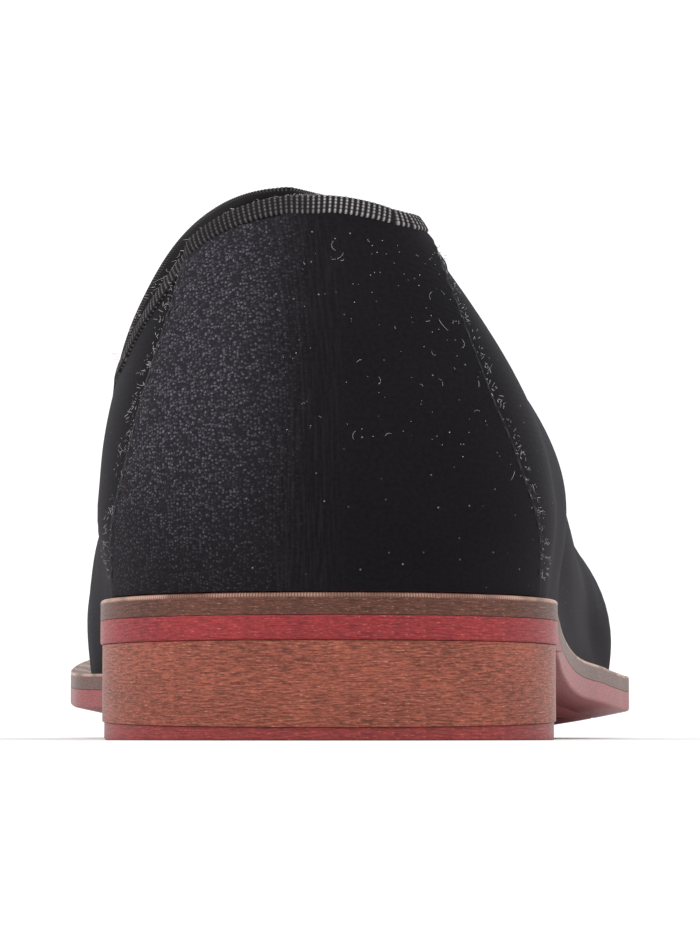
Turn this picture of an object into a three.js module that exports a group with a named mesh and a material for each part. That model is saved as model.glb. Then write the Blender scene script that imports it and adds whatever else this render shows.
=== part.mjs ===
// Velvet loafer for the right foot, about size 42: a hollow velvet upper with a back panel and a ribbed
// collar binding, an insole, a welt, an outsole with arch and toe spring, and a heel in two layers.
// Millimetres. X points to the outer side of the foot, Y to the toe and Z up. Z = 0 is the floor, and
// the origin is the middle of the heel's resting face.
import * as THREE from 'three';
import { mergeVertices } from 'three/addons/utils/BufferGeometryUtils.js';

// Clearance between two pieces that meet: between the plates, and between curved pieces on the last
const GAP = 0.3;
const CURVED_GAP = 0.45;

// Sole in plan
const SOLE_LENGTH = 300;
const HEEL_WIDTH = 66;
const WAIST_WIDTH = 70.5;
const BALL_WIDTH = 106.7;
const HEEL_ROUND = 34;
const HEEL_FULLNESS = 2.2;
const TOE_FULLNESS = 2.4;
const TOE_ROUNDNESS = 0.53;

// Sole from the side: layers, heel, toe spring, and the rounding of the bottom across the tread
const WELT_THICKNESS = 3;
const OUTSOLE_THICKNESS = 3.45;
const INSOLE_THICKNESS = 2.5;
const HEEL_HEIGHT = 13.7;
const HEEL_LENGTH = 64;
const HEEL_TAPER = 0.6;
const BREAST_CURVE = 2.5;
const TOP_PIECE_AT_BACK = 1.75;
const TOP_PIECE_AT_BREAST = 3.65;
const TOE_SPRING = 12;
const TREAD_RADIUS = 234;
const TREAD_MIDDLE = 5;
const TREAD_FLAT = 0.4;

// Upper: its wall, the ledge of welt round it, and the heights above the heel seat or the welt
const WALL = 2;
const LEDGE = 4.2;
const BACK_HEIGHT = 55.2;
const SIDE_HEIGHT = 33;
const INSTEP_HEIGHT = 88.3;
const TOE_HEIGHT = 20;
const THROAT = 145;
const RIDGE_OFFSET = 8;
const BULGE_HEIGHT = 15;
const BACK_BULGE = 4;
const COLLAR_SET = 6;
const TOE_BULGE = 1;
const TOE_SET = 14;
const BINDING_WIDTH = 3;
const BINDING_PROUD = 0.4;
const PANEL_THICKNESS = 0.8;

// Each row gives how far the two sides lie from the heel's middle line, as shares of the width named.
const SOLE_OUTLINE = [
  { at: 0, lateral: 0.5, medial: 0.5, of: HEEL_WIDTH },
  { at: 0.117, lateral: 0.503, medial: 0.503, of: HEEL_WIDTH },
  { at: 0.213, lateral: 0.53, medial: 0.477, of: HEEL_WIDTH },
  { at: 0.317, lateral: 0.584, medial: 0.429, of: HEEL_WIDTH },
  { at: 0.4, lateral: 0.604, medial: 0.39, of: WAIST_WIDTH },
  { at: 0.5, lateral: 0.456, medial: 0.323, of: BALL_WIDTH },
  { at: 0.575, lateral: 0.497, medial: 0.407, of: BALL_WIDTH },
  { at: 0.633, lateral: 0.522, medial: 0.459, of: BALL_WIDTH },
  { at: 0.683, lateral: 0.521, medial: 0.476, of: BALL_WIDTH },
  { at: 1, lateral: 0.43, medial: 0.57, of: BALL_WIDTH },
];

// The widest line of the upper, in the same way
const WALL_OUTLINE = [
  { at: 0, lateral: 0.515, medial: 0.515, of: HEEL_WIDTH },
  { at: 0.117, lateral: 0.497, medial: 0.508, of: HEEL_WIDTH },
  { at: 0.213, lateral: 0.553, medial: 0.522, of: HEEL_WIDTH },
  { at: 0.333, lateral: 0.52, medial: 0.543, of: WAIST_WIDTH },
  { at: 0.433, lateral: 0.593, medial: 0.523, of: WAIST_WIDTH },
  { at: 0.533, lateral: 0.43, medial: 0.387, of: BALL_WIDTH },
  { at: 0.623, lateral: 0.488, medial: 0.431, of: BALL_WIDTH },
  { at: 0.683, lateral: 0.49, medial: 0.446, of: BALL_WIDTH },
  { at: 1, lateral: 0.398, medial: 0.538, of: BALL_WIDTH },
];

// Underside of the outsole along the middle: shares of the heel height, toe spring and tread flat
const BOTTOM = [
  { at: 0, heel: 1, spring: 0, tread: 0 },
  { at: 0.12, heel: 0.995, spring: 0, tread: 0 },
  { at: 0.213, heel: 0.97, spring: 0, tread: 0 },
  { at: 0.283, heel: 0.73, spring: 0, tread: 0.2 },
  { at: 0.35, heel: 0.53, spring: 0, tread: 0.4 },
  { at: 0.417, heel: 0.36, spring: 0, tread: 0.6 },
  { at: 0.483, heel: 0.21, spring: 0, tread: 0.8 },
  { at: 0.55, heel: 0.1, spring: 0, tread: 1 },
  { at: 0.643, heel: 0, spring: 0, tread: 1 },
  { at: 0.69, heel: 0, spring: 0, tread: 1 },
  { at: 0.75, heel: 0, spring: 0.07, tread: 1 },
  { at: 0.833, heel: 0, spring: 0.28, tread: 0.8 },
  { at: 0.917, heel: 0, spring: 0.6, tread: 0.4 },
  { at: 1, heel: 0, spring: 1, tread: 0 },
];

// How much of the tread's rounding the bottom has, and how much of the ledge shows round the upper
const EDGES = [
  { at: 0, crown: 0, ledge: 0.38 },
  { at: 0.22, crown: 0, ledge: 0.33 },
  { at: 0.36, crown: 0.4, ledge: 0.36 },
  { at: 0.5, crown: 1, ledge: 0.7 },
  { at: 0.65, crown: 1, ledge: 1 },
  { at: 0.85, crown: 1, ledge: 1 },
  { at: 1, crown: 0.7, ledge: 0.95 },
];

// Height of the upper's widest line, as a share of the bulge height, and how far each flank leans in
const FLANKS = [
  { at: 0, lateral: 1.2, medial: 1.2, lateralLean: 0.7, medialLean: 0.7 },
  { at: 0.1, lateral: 0.83, medial: 0.9, lateralLean: 1.51, medialLean: 1.07 },
  { at: 0.18, lateral: 0.92, medial: 0.9, lateralLean: 1.71, medialLean: 0.95 },
  { at: 0.33, lateral: 0.97, medial: 1.2, lateralLean: 0.89, medialLean: 0.24 },
  { at: 0.42, lateral: 0.88, medial: 1.24, lateralLean: 0.56, medialLean: 0.06 },
  { at: 0.483, lateral: 0.75, medial: 1.2, lateralLean: 0.71, medialLean: 0.02 },
  { at: 0.55, lateral: 0.6, medial: 1.1, lateralLean: 0.89, medialLean: 0 },
  { at: 0.65, lateral: 0.45, medial: 0.75, lateralLean: 0.5, medialLean: 0 },
  { at: 0.85, lateral: 0.45, medial: 0.6, lateralLean: 0.15, medialLean: 0 },
  { at: 1, lateral: 0.4, medial: 0.4, lateralLean: 0, medialLean: 0 },
];

// Ridge of the last over the welt: behind the throat it is only the line that the flanks lean to
const RIDGE = [
  { at: 0, high: 0.95, of: INSTEP_HEIGHT },
  { at: 0.2, high: 0.97, of: INSTEP_HEIGHT },
  { at: 0.35, high: 0.995, of: INSTEP_HEIGHT },
  { at: 0.483, high: 1, of: INSTEP_HEIGHT },
  { at: 0.55, high: 0.875, of: INSTEP_HEIGHT },
  { at: 0.62, high: 0.737, of: INSTEP_HEIGHT },
  { at: 0.69, high: 0.62, of: INSTEP_HEIGHT },
  { at: 0.8, high: 0.462, of: INSTEP_HEIGHT },
  { at: 0.9, high: 0.335, of: INSTEP_HEIGHT },
  { at: 1, high: 1, of: TOE_HEIGHT },
];

// Topline over the heel seat. The places are shares of the way from the back to the throat.
const TOPLINE = [
  { at: 0, lateral: 1, medial: 1, of: BACK_HEIGHT },
  { at: 0.034, lateral: 0.963, medial: 0.939, of: BACK_HEIGHT },
  { at: 0.062, lateral: 0.962, medial: 0.879, of: BACK_HEIGHT },
  { at: 0.09, lateral: 0.905, medial: 0.8, of: BACK_HEIGHT },
  { at: 0.125, lateral: 0.893, medial: 0.718, of: BACK_HEIGHT },
  { at: 0.165, lateral: 0.868, medial: 0.634, of: BACK_HEIGHT },
  { at: 0.215, lateral: 0.785, medial: 0.628, of: BACK_HEIGHT },
  { at: 0.31, lateral: 1.216, medial: 0.896, of: SIDE_HEIGHT },
  { at: 0.44, lateral: 1.2, medial: 0.82, of: SIDE_HEIGHT },
  { at: 0.56, lateral: 1.21, medial: 1.035, of: SIDE_HEIGHT },
  { at: 0.69, lateral: 1.292, medial: 1.535, of: SIDE_HEIGHT },
  { at: 0.77, lateral: 0.652, medial: 0.792, of: 'throat' },
  { at: 0.83, lateral: 0.748, medial: 0.863, of: 'throat' },
  { at: 0.91, lateral: 0.942, medial: 0.934, of: 'throat' },
  { at: 1, lateral: 1, medial: 1, of: 'throat' },
];

// Seams of the back panel: places across, as shares of the heel width, at shares of the back height
const PANEL_SEAMS = [
  { at: 0, lateral: 0.442, medial: 0.455 },
  { at: 0.13, lateral: 0.446, medial: 0.46 },
  { at: 0.34, lateral: 0.395, medial: 0.423 },
  { at: 0.48, lateral: 0.345, medial: 0.392 },
  { at: 0.7, lateral: 0.275, medial: 0.335 },
  { at: 0.86, lateral: 0.225, medial: 0.3 },
  { at: 1, lateral: 0.195, medial: 0.27 },
];

// Facets: stations along each piece, columns across it and levels up it
const STATIONS = 32;
const COLUMNS = 8;
const TREAD_COLUMNS = 12;
const HEEL_STATIONS = 10;
const COLLAR_STATIONS = 26;
const THROAT_STATIONS = 5;
const VAMP_STATIONS = 16;
const TUCK_LEVELS = 3;
const FLANK_LEVELS = 9;
const BINDING_LEVELS = 2;
const PANEL_COLUMNS = 9;
const LATERAL = 1;
const MEDIAL = -1;

const BACK_LEDGE = LEDGE * EDGES[0].ledge;
const TOE_LEDGE = LEDGE * EDGES[EDGES.length - 1].ledge;
const SEAT = HEEL_HEIGHT + OUTSOLE_THICKNESS + WELT_THICKNESS;
const BALL_AT = 0.683;

// Slope of a table's curve at one of its rows, never steeper than its neighbours allow
function slopeAt(rows, read, row) {
  const rise = (a, b) => (read(rows[b]) - read(rows[a])) / (rows[b].at - rows[a].at);
  if (row === 0) return rise(0, 1);
  if (row === rows.length - 1) return rise(row - 1, row);
  const before = rise(row - 1, row);
  const after = rise(row, row + 1);
  return before * after <= 0 ? 0 : (2 * before * after) / (before + after);
}

// Smooth curve through one column of a table
function curve(rows, read, at) {
  let row = 0;
  while (row < rows.length - 2 && at > rows[row + 1].at) row += 1;
  const span = rows[row + 1].at - rows[row].at;
  const u = (at - rows[row].at) / span;
  const start = read(rows[row]);
  const end = read(rows[row + 1]);
  const leave = slopeAt(rows, read, row) * span;
  const arrive = slopeAt(rows, read, row + 1) * span;
  const bend = 3 * (end - start) - 2 * leave - arrive;
  return start + u * (leave + u * (bend + u * (leave + arrive - 2 * (end - start))));
}

const sideName = (side) => (side === LATERAL ? 'lateral' : 'medial');

// Both ends of every outline close in a round: the heel's back and the toe
function endRound(along) {
  const back = Math.min(1, (along * SOLE_LENGTH) / HEEL_ROUND);
  const front = Math.max(0, (along - BALL_AT) / (1 - BALL_AT));
  const heel = (1 - (1 - back) ** HEEL_FULLNESS) ** (1 / HEEL_FULLNESS);
  return heel * Math.max(0, 1 - front ** TOE_FULLNESS) ** TOE_ROUNDNESS;
}

// One side of an outline, drawn in by an inset
function outlineX(rows, side, along, inset) {
  const lateral = curve(rows, (row) => row.lateral * row.of, along);
  const medial = curve(rows, (row) => row.medial * row.of, along);
  const half = (lateral + medial) / 2 - inset;
  return (lateral - medial) / 2 + side * half * endRound(along);
}

// Underside of the sole before the tread is worn flat
function soleBottom(x, y) {
  const along = THREE.MathUtils.clamp(y / SOLE_LENGTH, 0, 1);
  const heel = curve(BOTTOM, (row) => row.heel, along) * HEEL_HEIGHT;
  const spring = curve(BOTTOM, (row) => row.spring, along) * TOE_SPRING;
  const tread = curve(BOTTOM, (row) => row.tread, along) * TREAD_FLAT;
  const crown = curve(EDGES, (row) => row.crown, along) * (x - TREAD_MIDDLE) ** 2;
  return heel + spring - tread + crown / (2 * TREAD_RADIUS);
}

const outsoleBottom = (x, y) => Math.max(0, soleBottom(x, y));
const outsoleTop = (x, y) => soleBottom(x, y) + OUTSOLE_THICKNESS - GAP;
const weltBottom = (x, y) => soleBottom(x, y) + OUTSOLE_THICKNESS;
const weltTop = (x, y) => weltBottom(x, y) + WELT_THICKNESS;
const insoleBottom = (x, y) => weltTop(x, y) + GAP;
const insoleTop = (x, y) => insoleBottom(x, y) + INSOLE_THICKNESS;

// Places from 0 to 1, closer together at both ends
const eased = (step, steps) => (1 - Math.cos((Math.PI * step) / steps)) / 2;

// Closed mesh from triangles of points, on a grid of 0.1 micrometre: equal points are joined and
// empty triangles are dropped
function solid(triangles) {
  const geometry = new THREE.BufferGeometry();
  const numbers = triangles.flat(2).map((value) => Math.round(value * 1e4) / 1e4);
  geometry.setAttribute('position', new THREE.Float32BufferAttribute(numbers, 3));
  const merged = mergeVertices(geometry, 1e-3);
  const index = merged.getIndex().array;
  const kept = [];
  for (let i = 0; i < index.length; i += 3) {
    const [a, b, c] = [index[i], index[i + 1], index[i + 2]];
    if (a !== b && b !== c && c !== a) kept.push(a, b, c);
  }
  merged.setIndex(kept);
  return merged;
}

// Two triangles for the four corners of a facet, in turning order
const facet = (a, b, c, d) => [[a, b, c], [a, c, d]];

// Plate from the back to a front line: stations of points across, joined above, below and round the
// edge. The front line may bow back between its two ends.
function plate({ back, front, bow, topInset, bottomInset, ledged, top, bottom, stations, columns }) {
  const row = (share, height, inset) => {
    const points = [];
    const ledge = (at) => (ledged ? LEDGE * curve(EDGES, (edge) => edge.ledge, at) : 0);
    const start = back + inset + (ledged ? BACK_LEDGE : 0);
    const end = front < SOLE_LENGTH ? front : front - inset - (ledged ? TOE_LEDGE : 0);
    const y = start + share * (end - start);
    const along = front < SOLE_LENGTH ? (y - start) / SOLE_LENGTH : share;
    const left = outlineX(SOLE_OUTLINE, MEDIAL, along, inset + ledge(along));
    const right = outlineX(SOLE_OUTLINE, LATERAL, along, inset + ledge(along));
    for (let column = 0; column <= columns; column += 1) {
      const across = column / columns;
      const x = left + across * (right - left);
      const middle = 4 * across * (1 - across);
      const bowedY = y - bow * middle * share;
      points.push([x, bowedY, height(x, bowedY)]);
    }
    return points;
  };
  const upper = [];
  const lower = [];
  for (let station = 0; station <= stations; station += 1) {
    const share = eased(station, stations);
    upper.push(row(share, top, topInset));
    lower.push(row(share, bottom, bottomInset));
  }
  const triangles = [];
  for (let i = 0; i < stations; i += 1) {
    for (let j = 0; j < columns; j += 1) {
      triangles.push(...facet(upper[i][j], upper[i][j + 1], upper[i + 1][j + 1], upper[i + 1][j]));
      triangles.push(...facet(lower[i][j], lower[i + 1][j], lower[i + 1][j + 1], lower[i][j + 1]));
    }
    triangles.push(...facet(lower[i][0], upper[i][0], upper[i + 1][0], lower[i + 1][0]));
    const c = columns;
    triangles.push(...facet(lower[i][c], lower[i + 1][c], upper[i + 1][c], upper[i][c]));
  }
  for (let j = 0; j < columns; j += 1) {
    const n = stations;
    triangles.push(...facet(lower[0][j], lower[0][j + 1], upper[0][j + 1], upper[0][j]));
    triangles.push(...facet(lower[n][j], upper[n][j], upper[n][j + 1], lower[n][j + 1]));
  }
  return solid(triangles);
}

// Height of the ridge over the floor at a place along the last
const ridgeZ = (along) => curve(RIDGE, (row) => row.high * row.of, along)
  + weltTop(TREAD_MIDDLE, along * SOLE_LENGTH) + GAP;

// The parts of one section of the last on one side: feather edge, widest line and ridge
function section(side, along) {
  const name = sideName(side);
  const ledge = LEDGE * curve(EDGES, (row) => row.ledge, along);
  const y = BACK_LEDGE + along * (SOLE_LENGTH - BACK_LEDGE - TOE_LEDGE);
  const featherX = outlineX(SOLE_OUTLINE, side, along, ledge);
  const featherZ = weltTop(featherX, y) + GAP;
  const rise = curve(FLANKS, (row) => row[name], along) * BULGE_HEIGHT;
  return {
    y,
    featherX,
    featherZ,
    wideX: outlineX(WALL_OUTLINE, side, along, 0),
    wideZ: featherZ + rise,
    lean: curve(FLANKS, (row) => row[`${name}Lean`], along),
    topZ: ridgeZ(along),
  };
}

// One point of the last. The level climbs from the feather edge (0) over the widest line (1) to the
// ridge (2). The back leans over the heel seat, and the toe closes in a round nose.
function lastPoint(side, along, level) {
  const at = section(side, along);
  const tuck = Math.min(level, 1);
  const climb = (Math.max(level - 1, 0) * Math.PI) / 2;
  const swell = Math.sin((tuck * Math.PI) / 2);
  const low = at.featherX + (at.wideX - at.featherX) * swell;
  const narrowing = Math.cos(climb) * (1 - at.lean * Math.sin(climb) ** 2);
  const x = -RIDGE_OFFSET + (low + RIDGE_OFFSET) * narrowing;
  const lowZ = at.featherZ + (at.wideZ - at.featherZ) * tuck;
  const z = lowZ + (at.topZ - at.wideZ) * Math.sin(climb);
  const high = Math.max(0, z - SEAT) / BACK_HEIGHT;
  const backSet = COLLAR_SET * high ** 2 - BACK_BULGE * Math.sin(Math.PI * Math.min(high, 1));
  const toeSet = TOE_BULGE * swell - (TOE_SET + TOE_BULGE) * (1 - Math.cos(climb));
  return [x, at.y + backSet * (1 - along) ** 6 + toeSet * along ** 8, z];
}

// Level at which one side of the last reaches a height
function levelOf(side, along, height) {
  const at = section(side, along);
  const sine = THREE.MathUtils.clamp((height - at.wideZ) / (at.topZ - at.wideZ), 0, 1);
  return 1 + Math.asin(sine) / (Math.PI / 2);
}

// Topline of one side, seen from the side of the shoe and lowered square to itself by a width. Both
// sides start level at the back.
function topline(side, lowered) {
  const name = sideName(side);
  const throatRise = ridgeZ(THROAT / SOLE_LENGTH) - SEAT;
  const size = (row) => (row.of === 'throat' ? throatRise : row.of);
  const heightAt = (share) => SEAT + curve(TOPLINE, (row) => row[name] * size(row), share);
  const steps = 80;
  const points = [];
  for (let step = 0; step <= steps; step += 1) {
    const share = step / steps;
    const nudge = 0.5 / steps;
    const run = 2 * nudge * THROAT;
    const rise = heightAt(Math.min(1, share + nudge)) - heightAt(Math.max(0, share - nudge));
    const climb = step === 0 ? 0 : rise;
    const length = Math.hypot(run, climb);
    const place = share * THROAT + (lowered * climb) / length;
    const isNext = step === 0 || place > points[points.length - 1].at;
    if (isNext) points.push({ at: place, high: heightAt(share) - (lowered * run) / length });
  }
  return (along) => {
    const y = along * SOLE_LENGTH;
    let i = 0;
    while (i < points.length - 2 && y > points[i + 1].at) i += 1;
    const share = (y - points[i].at) / (points[i + 1].at - points[i].at);
    return points[i].high + THREE.MathUtils.clamp(share, 0, 1) * (points[i + 1].high - points[i].high);
  };
}

// Levels of a topline that is lowered by a width, and the place where its two sides meet on the ridge
function rimLine(lowered) {
  const sides = { [LATERAL]: topline(LATERAL, lowered), [MEDIAL]: topline(MEDIAL, lowered) };
  let open = THROAT / SOLE_LENGTH - 0.02;
  let shut = THROAT / SOLE_LENGTH + 0.06;
  const isShut = (along) => Math.min(sides[LATERAL](along), sides[MEDIAL](along)) >= ridgeZ(along);
  for (let step = 0; step < 40; step += 1) {
    const middle = (open + shut) / 2;
    if (isShut(middle)) shut = middle;
    else open = middle;
  }
  const level = (side, along) => (along >= shut ? 2 : levelOf(side, along, sides[side](along)));
  return { closesAt: shut, level };
}

// Surface over both sides of the last, between two rows of the levels that run along it
function band(places, levels, first, last) {
  const triangles = [];
  [LATERAL, MEDIAL].forEach((side) => {
    const columns = places.map((along) =>
      levels(side, along).slice(first, last + 1).map((level) => lastPoint(side, along, level)));
    for (let i = 0; i < columns.length - 1; i += 1) {
      for (let j = 0; j < last - first; j += 1) {
        const [a, b] = [columns[i][j], columns[i + 1][j]];
        const [c, d] = [columns[i + 1][j + 1], columns[i][j + 1]];
        triangles.push(...(side === LATERAL ? facet(a, b, c, d) : facet(a, d, c, b)));
      }
    }
  });
  return solid(triangles);
}

const keyOf = (point) => point.toArray().map((value) => value.toFixed(2)).join(' ');

// Normals of a surface by their places, so that pieces cut from it swell in the same directions
function normalsOf(surface) {
  surface.computeVertexNormals();
  const position = surface.getAttribute('position');
  const normal = surface.getAttribute('normal');
  const found = new Map();
  for (let i = 0; i < position.count; i += 1) {
    const place = keyOf(new THREE.Vector3().fromBufferAttribute(position, i));
    found.set(place, new THREE.Vector3().fromBufferAttribute(normal, i));
  }
  return found;
}

// Solid of even thickness on a surface: each point moves along its normal, out by one distance and in
// by another, and open borders are closed. Points for which keepHeight holds stay level.
function thicken(surface, whole, out, into, keepHeight) {
  const own = normalsOf(surface);
  const shared = normalsOf(whole);
  const position = surface.getAttribute('position');
  const index = surface.getIndex().array;
  const moved = (i, distance) => {
    const base = new THREE.Vector3().fromBufferAttribute(position, i);
    const normal = shared.get(keyOf(base)) ?? own.get(keyOf(base));
    const point = base.clone().addScaledVector(normal, distance);
    if (keepHeight(base)) point.z = base.z;
    return point.toArray();
  };
  const outer = Array.from({ length: position.count }, (_, i) => moved(i, out));
  const inner = Array.from({ length: position.count }, (_, i) => moved(i, -into));
  const triangles = [];
  const borders = new Map();
  for (let i = 0; i < index.length; i += 3) {
    const [a, b, c] = [index[i], index[i + 1], index[i + 2]];
    triangles.push([outer[a], outer[b], outer[c]], [inner[a], inner[c], inner[b]]);
    [[a, b], [b, c], [c, a]].forEach(([from, to]) => {
      if (!borders.delete(`${to} ${from}`)) borders.set(`${from} ${to}`, [from, to]);
    });
  }
  borders.forEach(([from, to]) => {
    triangles.push(...facet(outer[to], outer[from], inner[from], inner[to]));
  });
  return solid(triangles);
}

const bindingTop = rimLine(0);
const bindingFoot = rimLine(BINDING_WIDTH);
const upperRim = rimLine(BINDING_WIDTH + CURVED_GAP);
const panelRim = rimLine(BINDING_WIDTH + 1.5 * CURVED_GAP);

// Levels up to a rim: a few in the tuck under the widest line, then an even climb
function levelsUpTo(rim) {
  const levels = Array.from({ length: TUCK_LEVELS }, (_, step) => step / TUCK_LEVELS);
  for (let step = 0; step <= FLANK_LEVELS; step += 1) {
    levels.push(1 + ((rim - 1) * step) / FLANK_LEVELS);
  }
  return levels;
}

// All the levels of the shell: the upper's, then those of the binding that stands on its rim
const RIM_ROW = TUCK_LEVELS + FLANK_LEVELS;
const TOP_ROW = RIM_ROW + 1 + BINDING_LEVELS;
function shellLevels(side, along) {
  const levels = levelsUpTo(upperRim.level(side, along));
  const foot = bindingFoot.level(side, along);
  const top = bindingTop.level(side, along);
  for (let step = 0; step <= BINDING_LEVELS; step += 1) {
    levels.push(foot + ((top - foot) * step) / BINDING_LEVELS);
  }
  return levels;
}

const steps = (count, from, to) => Array.from({ length: count }, (_, i) =>
  from + (to - from) * eased(i, count));

// Stations that the upper and the binding share, so that their edges run side by side
const bindingPlaces = [
  ...steps(COLLAR_STATIONS, 0, bindingTop.closesAt),
  ...steps(THROAT_STATIONS, bindingTop.closesAt, bindingFoot.closesAt),
  bindingFoot.closesAt,
];
const shellPlaces = [...bindingPlaces, ...steps(VAMP_STATIONS, upperRim.closesAt, 1), 1];
const shell = band(shellPlaces, shellLevels, 0, TOP_ROW);

// The foot of the upper stays level on the welt
const isFoot = (point) => point.z < weltTop(point.x, point.y) + 1.5 * GAP;

const upperGeometry = () =>
  thicken(band(shellPlaces, shellLevels, 0, RIM_ROW), shell, 0, WALL, isFoot);

function bindingGeometry() {
  const surface = band(bindingPlaces, shellLevels, RIM_ROW + 1, TOP_ROW);
  return thicken(surface, shell, BINDING_PROUD, WALL, () => false);
}

// Place along the last where a side of it lies as far out as the panel's seam at a level
function seamPlace(side, level) {
  let near = 0;
  let far = 0.3;
  for (let step = 0; step < 40; step += 1) {
    const middle = (near + far) / 2;
    const [x, , z] = lastPoint(side, middle, level(side, middle));
    const high = THREE.MathUtils.clamp((z - SEAT) / BACK_HEIGHT, 0, 1);
    const reach = curve(PANEL_SEAMS, (row) => row[sideName(side)], high) * HEEL_WIDTH;
    if (side * x >= reach) far = middle;
    else near = middle;
  }
  return near;
}

function panelGeometry() {
  const rows = [];
  for (let row = 0; row <= RIM_ROW; row += 1) {
    const level = (side, along) => levelsUpTo(panelRim.level(side, along))[row];
    const points = [];
    for (let column = -PANEL_COLUMNS; column <= PANEL_COLUMNS; column += 1) {
      const side = column < 0 ? MEDIAL : LATERAL;
      const along = seamPlace(side, level) * Math.abs(column / PANEL_COLUMNS) ** HEEL_FULLNESS;
      points.push(lastPoint(side, along, level(side, along)));
    }
    rows.push(points);
  }
  const triangles = [];
  for (let i = 0; i < RIM_ROW; i += 1) {
    for (let j = 0; j < 2 * PANEL_COLUMNS; j += 1) {
      triangles.push(...facet(rows[i][j], rows[i][j + 1], rows[i + 1][j + 1], rows[i + 1][j]));
    }
  }
  const surface = solid(triangles);
  return thicken(surface, surface, CURVED_GAP + PANEL_THICKNESS, -CURVED_GAP, isFoot);
}

// Top of the heel's wear layer, a wedge that grows towards the breast
function topPieceTop(x, y) {
  return TOP_PIECE_AT_BACK + (TOP_PIECE_AT_BREAST - TOP_PIECE_AT_BACK) * (y / HEEL_LENGTH);
}

const colours = {
  velvet: { color: 0x201f22, roughness: 0.95 },
  grosgrain: { color: 0x2c2a2c, roughness: 0.8 },
  weltLeather: { color: 0x6b473c, roughness: 0.45 },
  redLeather: { color: 0x9a4042, roughness: 0.35 },
  stackedLeather: { color: 0x96584b, roughness: 0.45 },
  insoleLeather: { color: 0x7a2f35, roughness: 0.6 },
};

const loafer = new THREE.Group();
function add(name, geometry, finish) {
  geometry.deleteAttribute('normal');
  const material = new THREE.MeshStandardMaterial({ metalness: 0, ...finish });
  const mesh = new THREE.Mesh(geometry, material);
  mesh.name = name;
  loafer.add(mesh);
}

const wholeSole = {
  back: 0, front: SOLE_LENGTH, bow: 0, topInset: 0, bottomInset: 0, ledged: false, stations: STATIONS,
};
const heelLayer = {
  back: 0, front: HEEL_LENGTH, bow: BREAST_CURVE, ledged: false, stations: HEEL_STATIONS, columns: COLUMNS,
};

add('outsole', plate({
  ...wholeSole, top: outsoleTop, bottom: outsoleBottom, columns: TREAD_COLUMNS,
}), colours.redLeather);
add('welt', plate({
  ...wholeSole, top: weltTop, bottom: weltBottom, columns: TREAD_COLUMNS,
}), colours.weltLeather);
add('insole', plate({
  ...wholeSole,
  ledged: true,
  topInset: WALL + 2 * GAP,
  bottomInset: WALL + 2 * GAP,
  top: insoleTop,
  bottom: insoleBottom,
  columns: COLUMNS,
}), colours.insoleLeather);
add('heel_block', plate({
  ...heelLayer,
  topInset: GAP,
  bottomInset: HEEL_TAPER,
  top: (x, y) => soleBottom(x, y) - GAP,
  bottom: (x, y) => topPieceTop(x, y) + GAP,
}), colours.stackedLeather);
add('top_piece', plate({
  ...heelLayer, topInset: HEEL_TAPER, bottomInset: HEEL_TAPER, top: topPieceTop, bottom: () => 0,
}), colours.redLeather);
add('upper', upperGeometry(), colours.velvet);
add('back_panel', panelGeometry(), colours.velvet);
add('collar_binding', bindingGeometry(), colours.grosgrain);

// The origin lies under the middle of the heel
loafer.position.y = -HEEL_LENGTH / 2;

export default loafer;
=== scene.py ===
import math
import random
from bisect import bisect_right
from collections import namedtuple
from functools import lru_cache

import bmesh
import bpy
import numpy as np
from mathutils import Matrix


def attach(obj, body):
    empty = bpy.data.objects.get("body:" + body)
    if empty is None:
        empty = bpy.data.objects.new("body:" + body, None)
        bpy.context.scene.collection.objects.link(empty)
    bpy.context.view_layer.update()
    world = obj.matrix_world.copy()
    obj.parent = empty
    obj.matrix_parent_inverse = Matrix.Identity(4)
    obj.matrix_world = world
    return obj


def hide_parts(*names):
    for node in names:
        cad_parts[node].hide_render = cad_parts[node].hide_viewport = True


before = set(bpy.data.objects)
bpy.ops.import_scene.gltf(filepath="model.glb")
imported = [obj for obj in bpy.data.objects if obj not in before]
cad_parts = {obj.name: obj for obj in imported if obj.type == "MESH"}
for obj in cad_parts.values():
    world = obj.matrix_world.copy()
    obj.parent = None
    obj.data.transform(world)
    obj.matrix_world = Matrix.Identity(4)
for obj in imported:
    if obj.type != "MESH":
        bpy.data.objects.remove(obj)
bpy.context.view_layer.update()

bl_info = {
    "name": "Velvet loafer",
    "version": (1, 0, 0),
    "blender": (4, 5, 0),
    "location": "View3D > Sidebar > Loafer",
    "description": "Velvet, ribbon, lining, leather sole and stacked heel of a loafer for the right foot",
    "category": "Object",
}

MM = 0.001
WEAVE = "weave"
LATERAL = 1
MEDIAL = -1

# All sizes below are in millimetres, with y counted from the back of the outsole.
GAP = 0.3
JOINT = 0.04

# Sole in plan
SOLE_LENGTH = 300
HEEL_WIDTH = 66
WAIST_WIDTH = 70.5
BALL_WIDTH = 106.7
HEEL_ROUND = 34
HEEL_FULLNESS = 2.2
TOE_FULLNESS = 2.4
TOE_ROUNDNESS = 0.53
BALL_AT = 0.683

# Sole from the side
WELT_THICKNESS = 3
OUTSOLE_THICKNESS = 3.45
INSOLE_THICKNESS = 2.5
HEEL_HEIGHT = 13.7
HEEL_LENGTH = 64
HEEL_TAPER = 0.6
BREAST_CURVE = 2.5
TOP_PIECE_AT_BACK = 1.75
TOP_PIECE_AT_BREAST = 3.65
TOE_SPRING = 12
TREAD_RADIUS = 234
TREAD_MIDDLE = 5
TREAD_FLAT = 0.4
SEAT = HEEL_HEIGHT + OUTSOLE_THICKNESS + WELT_THICKNESS

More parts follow.
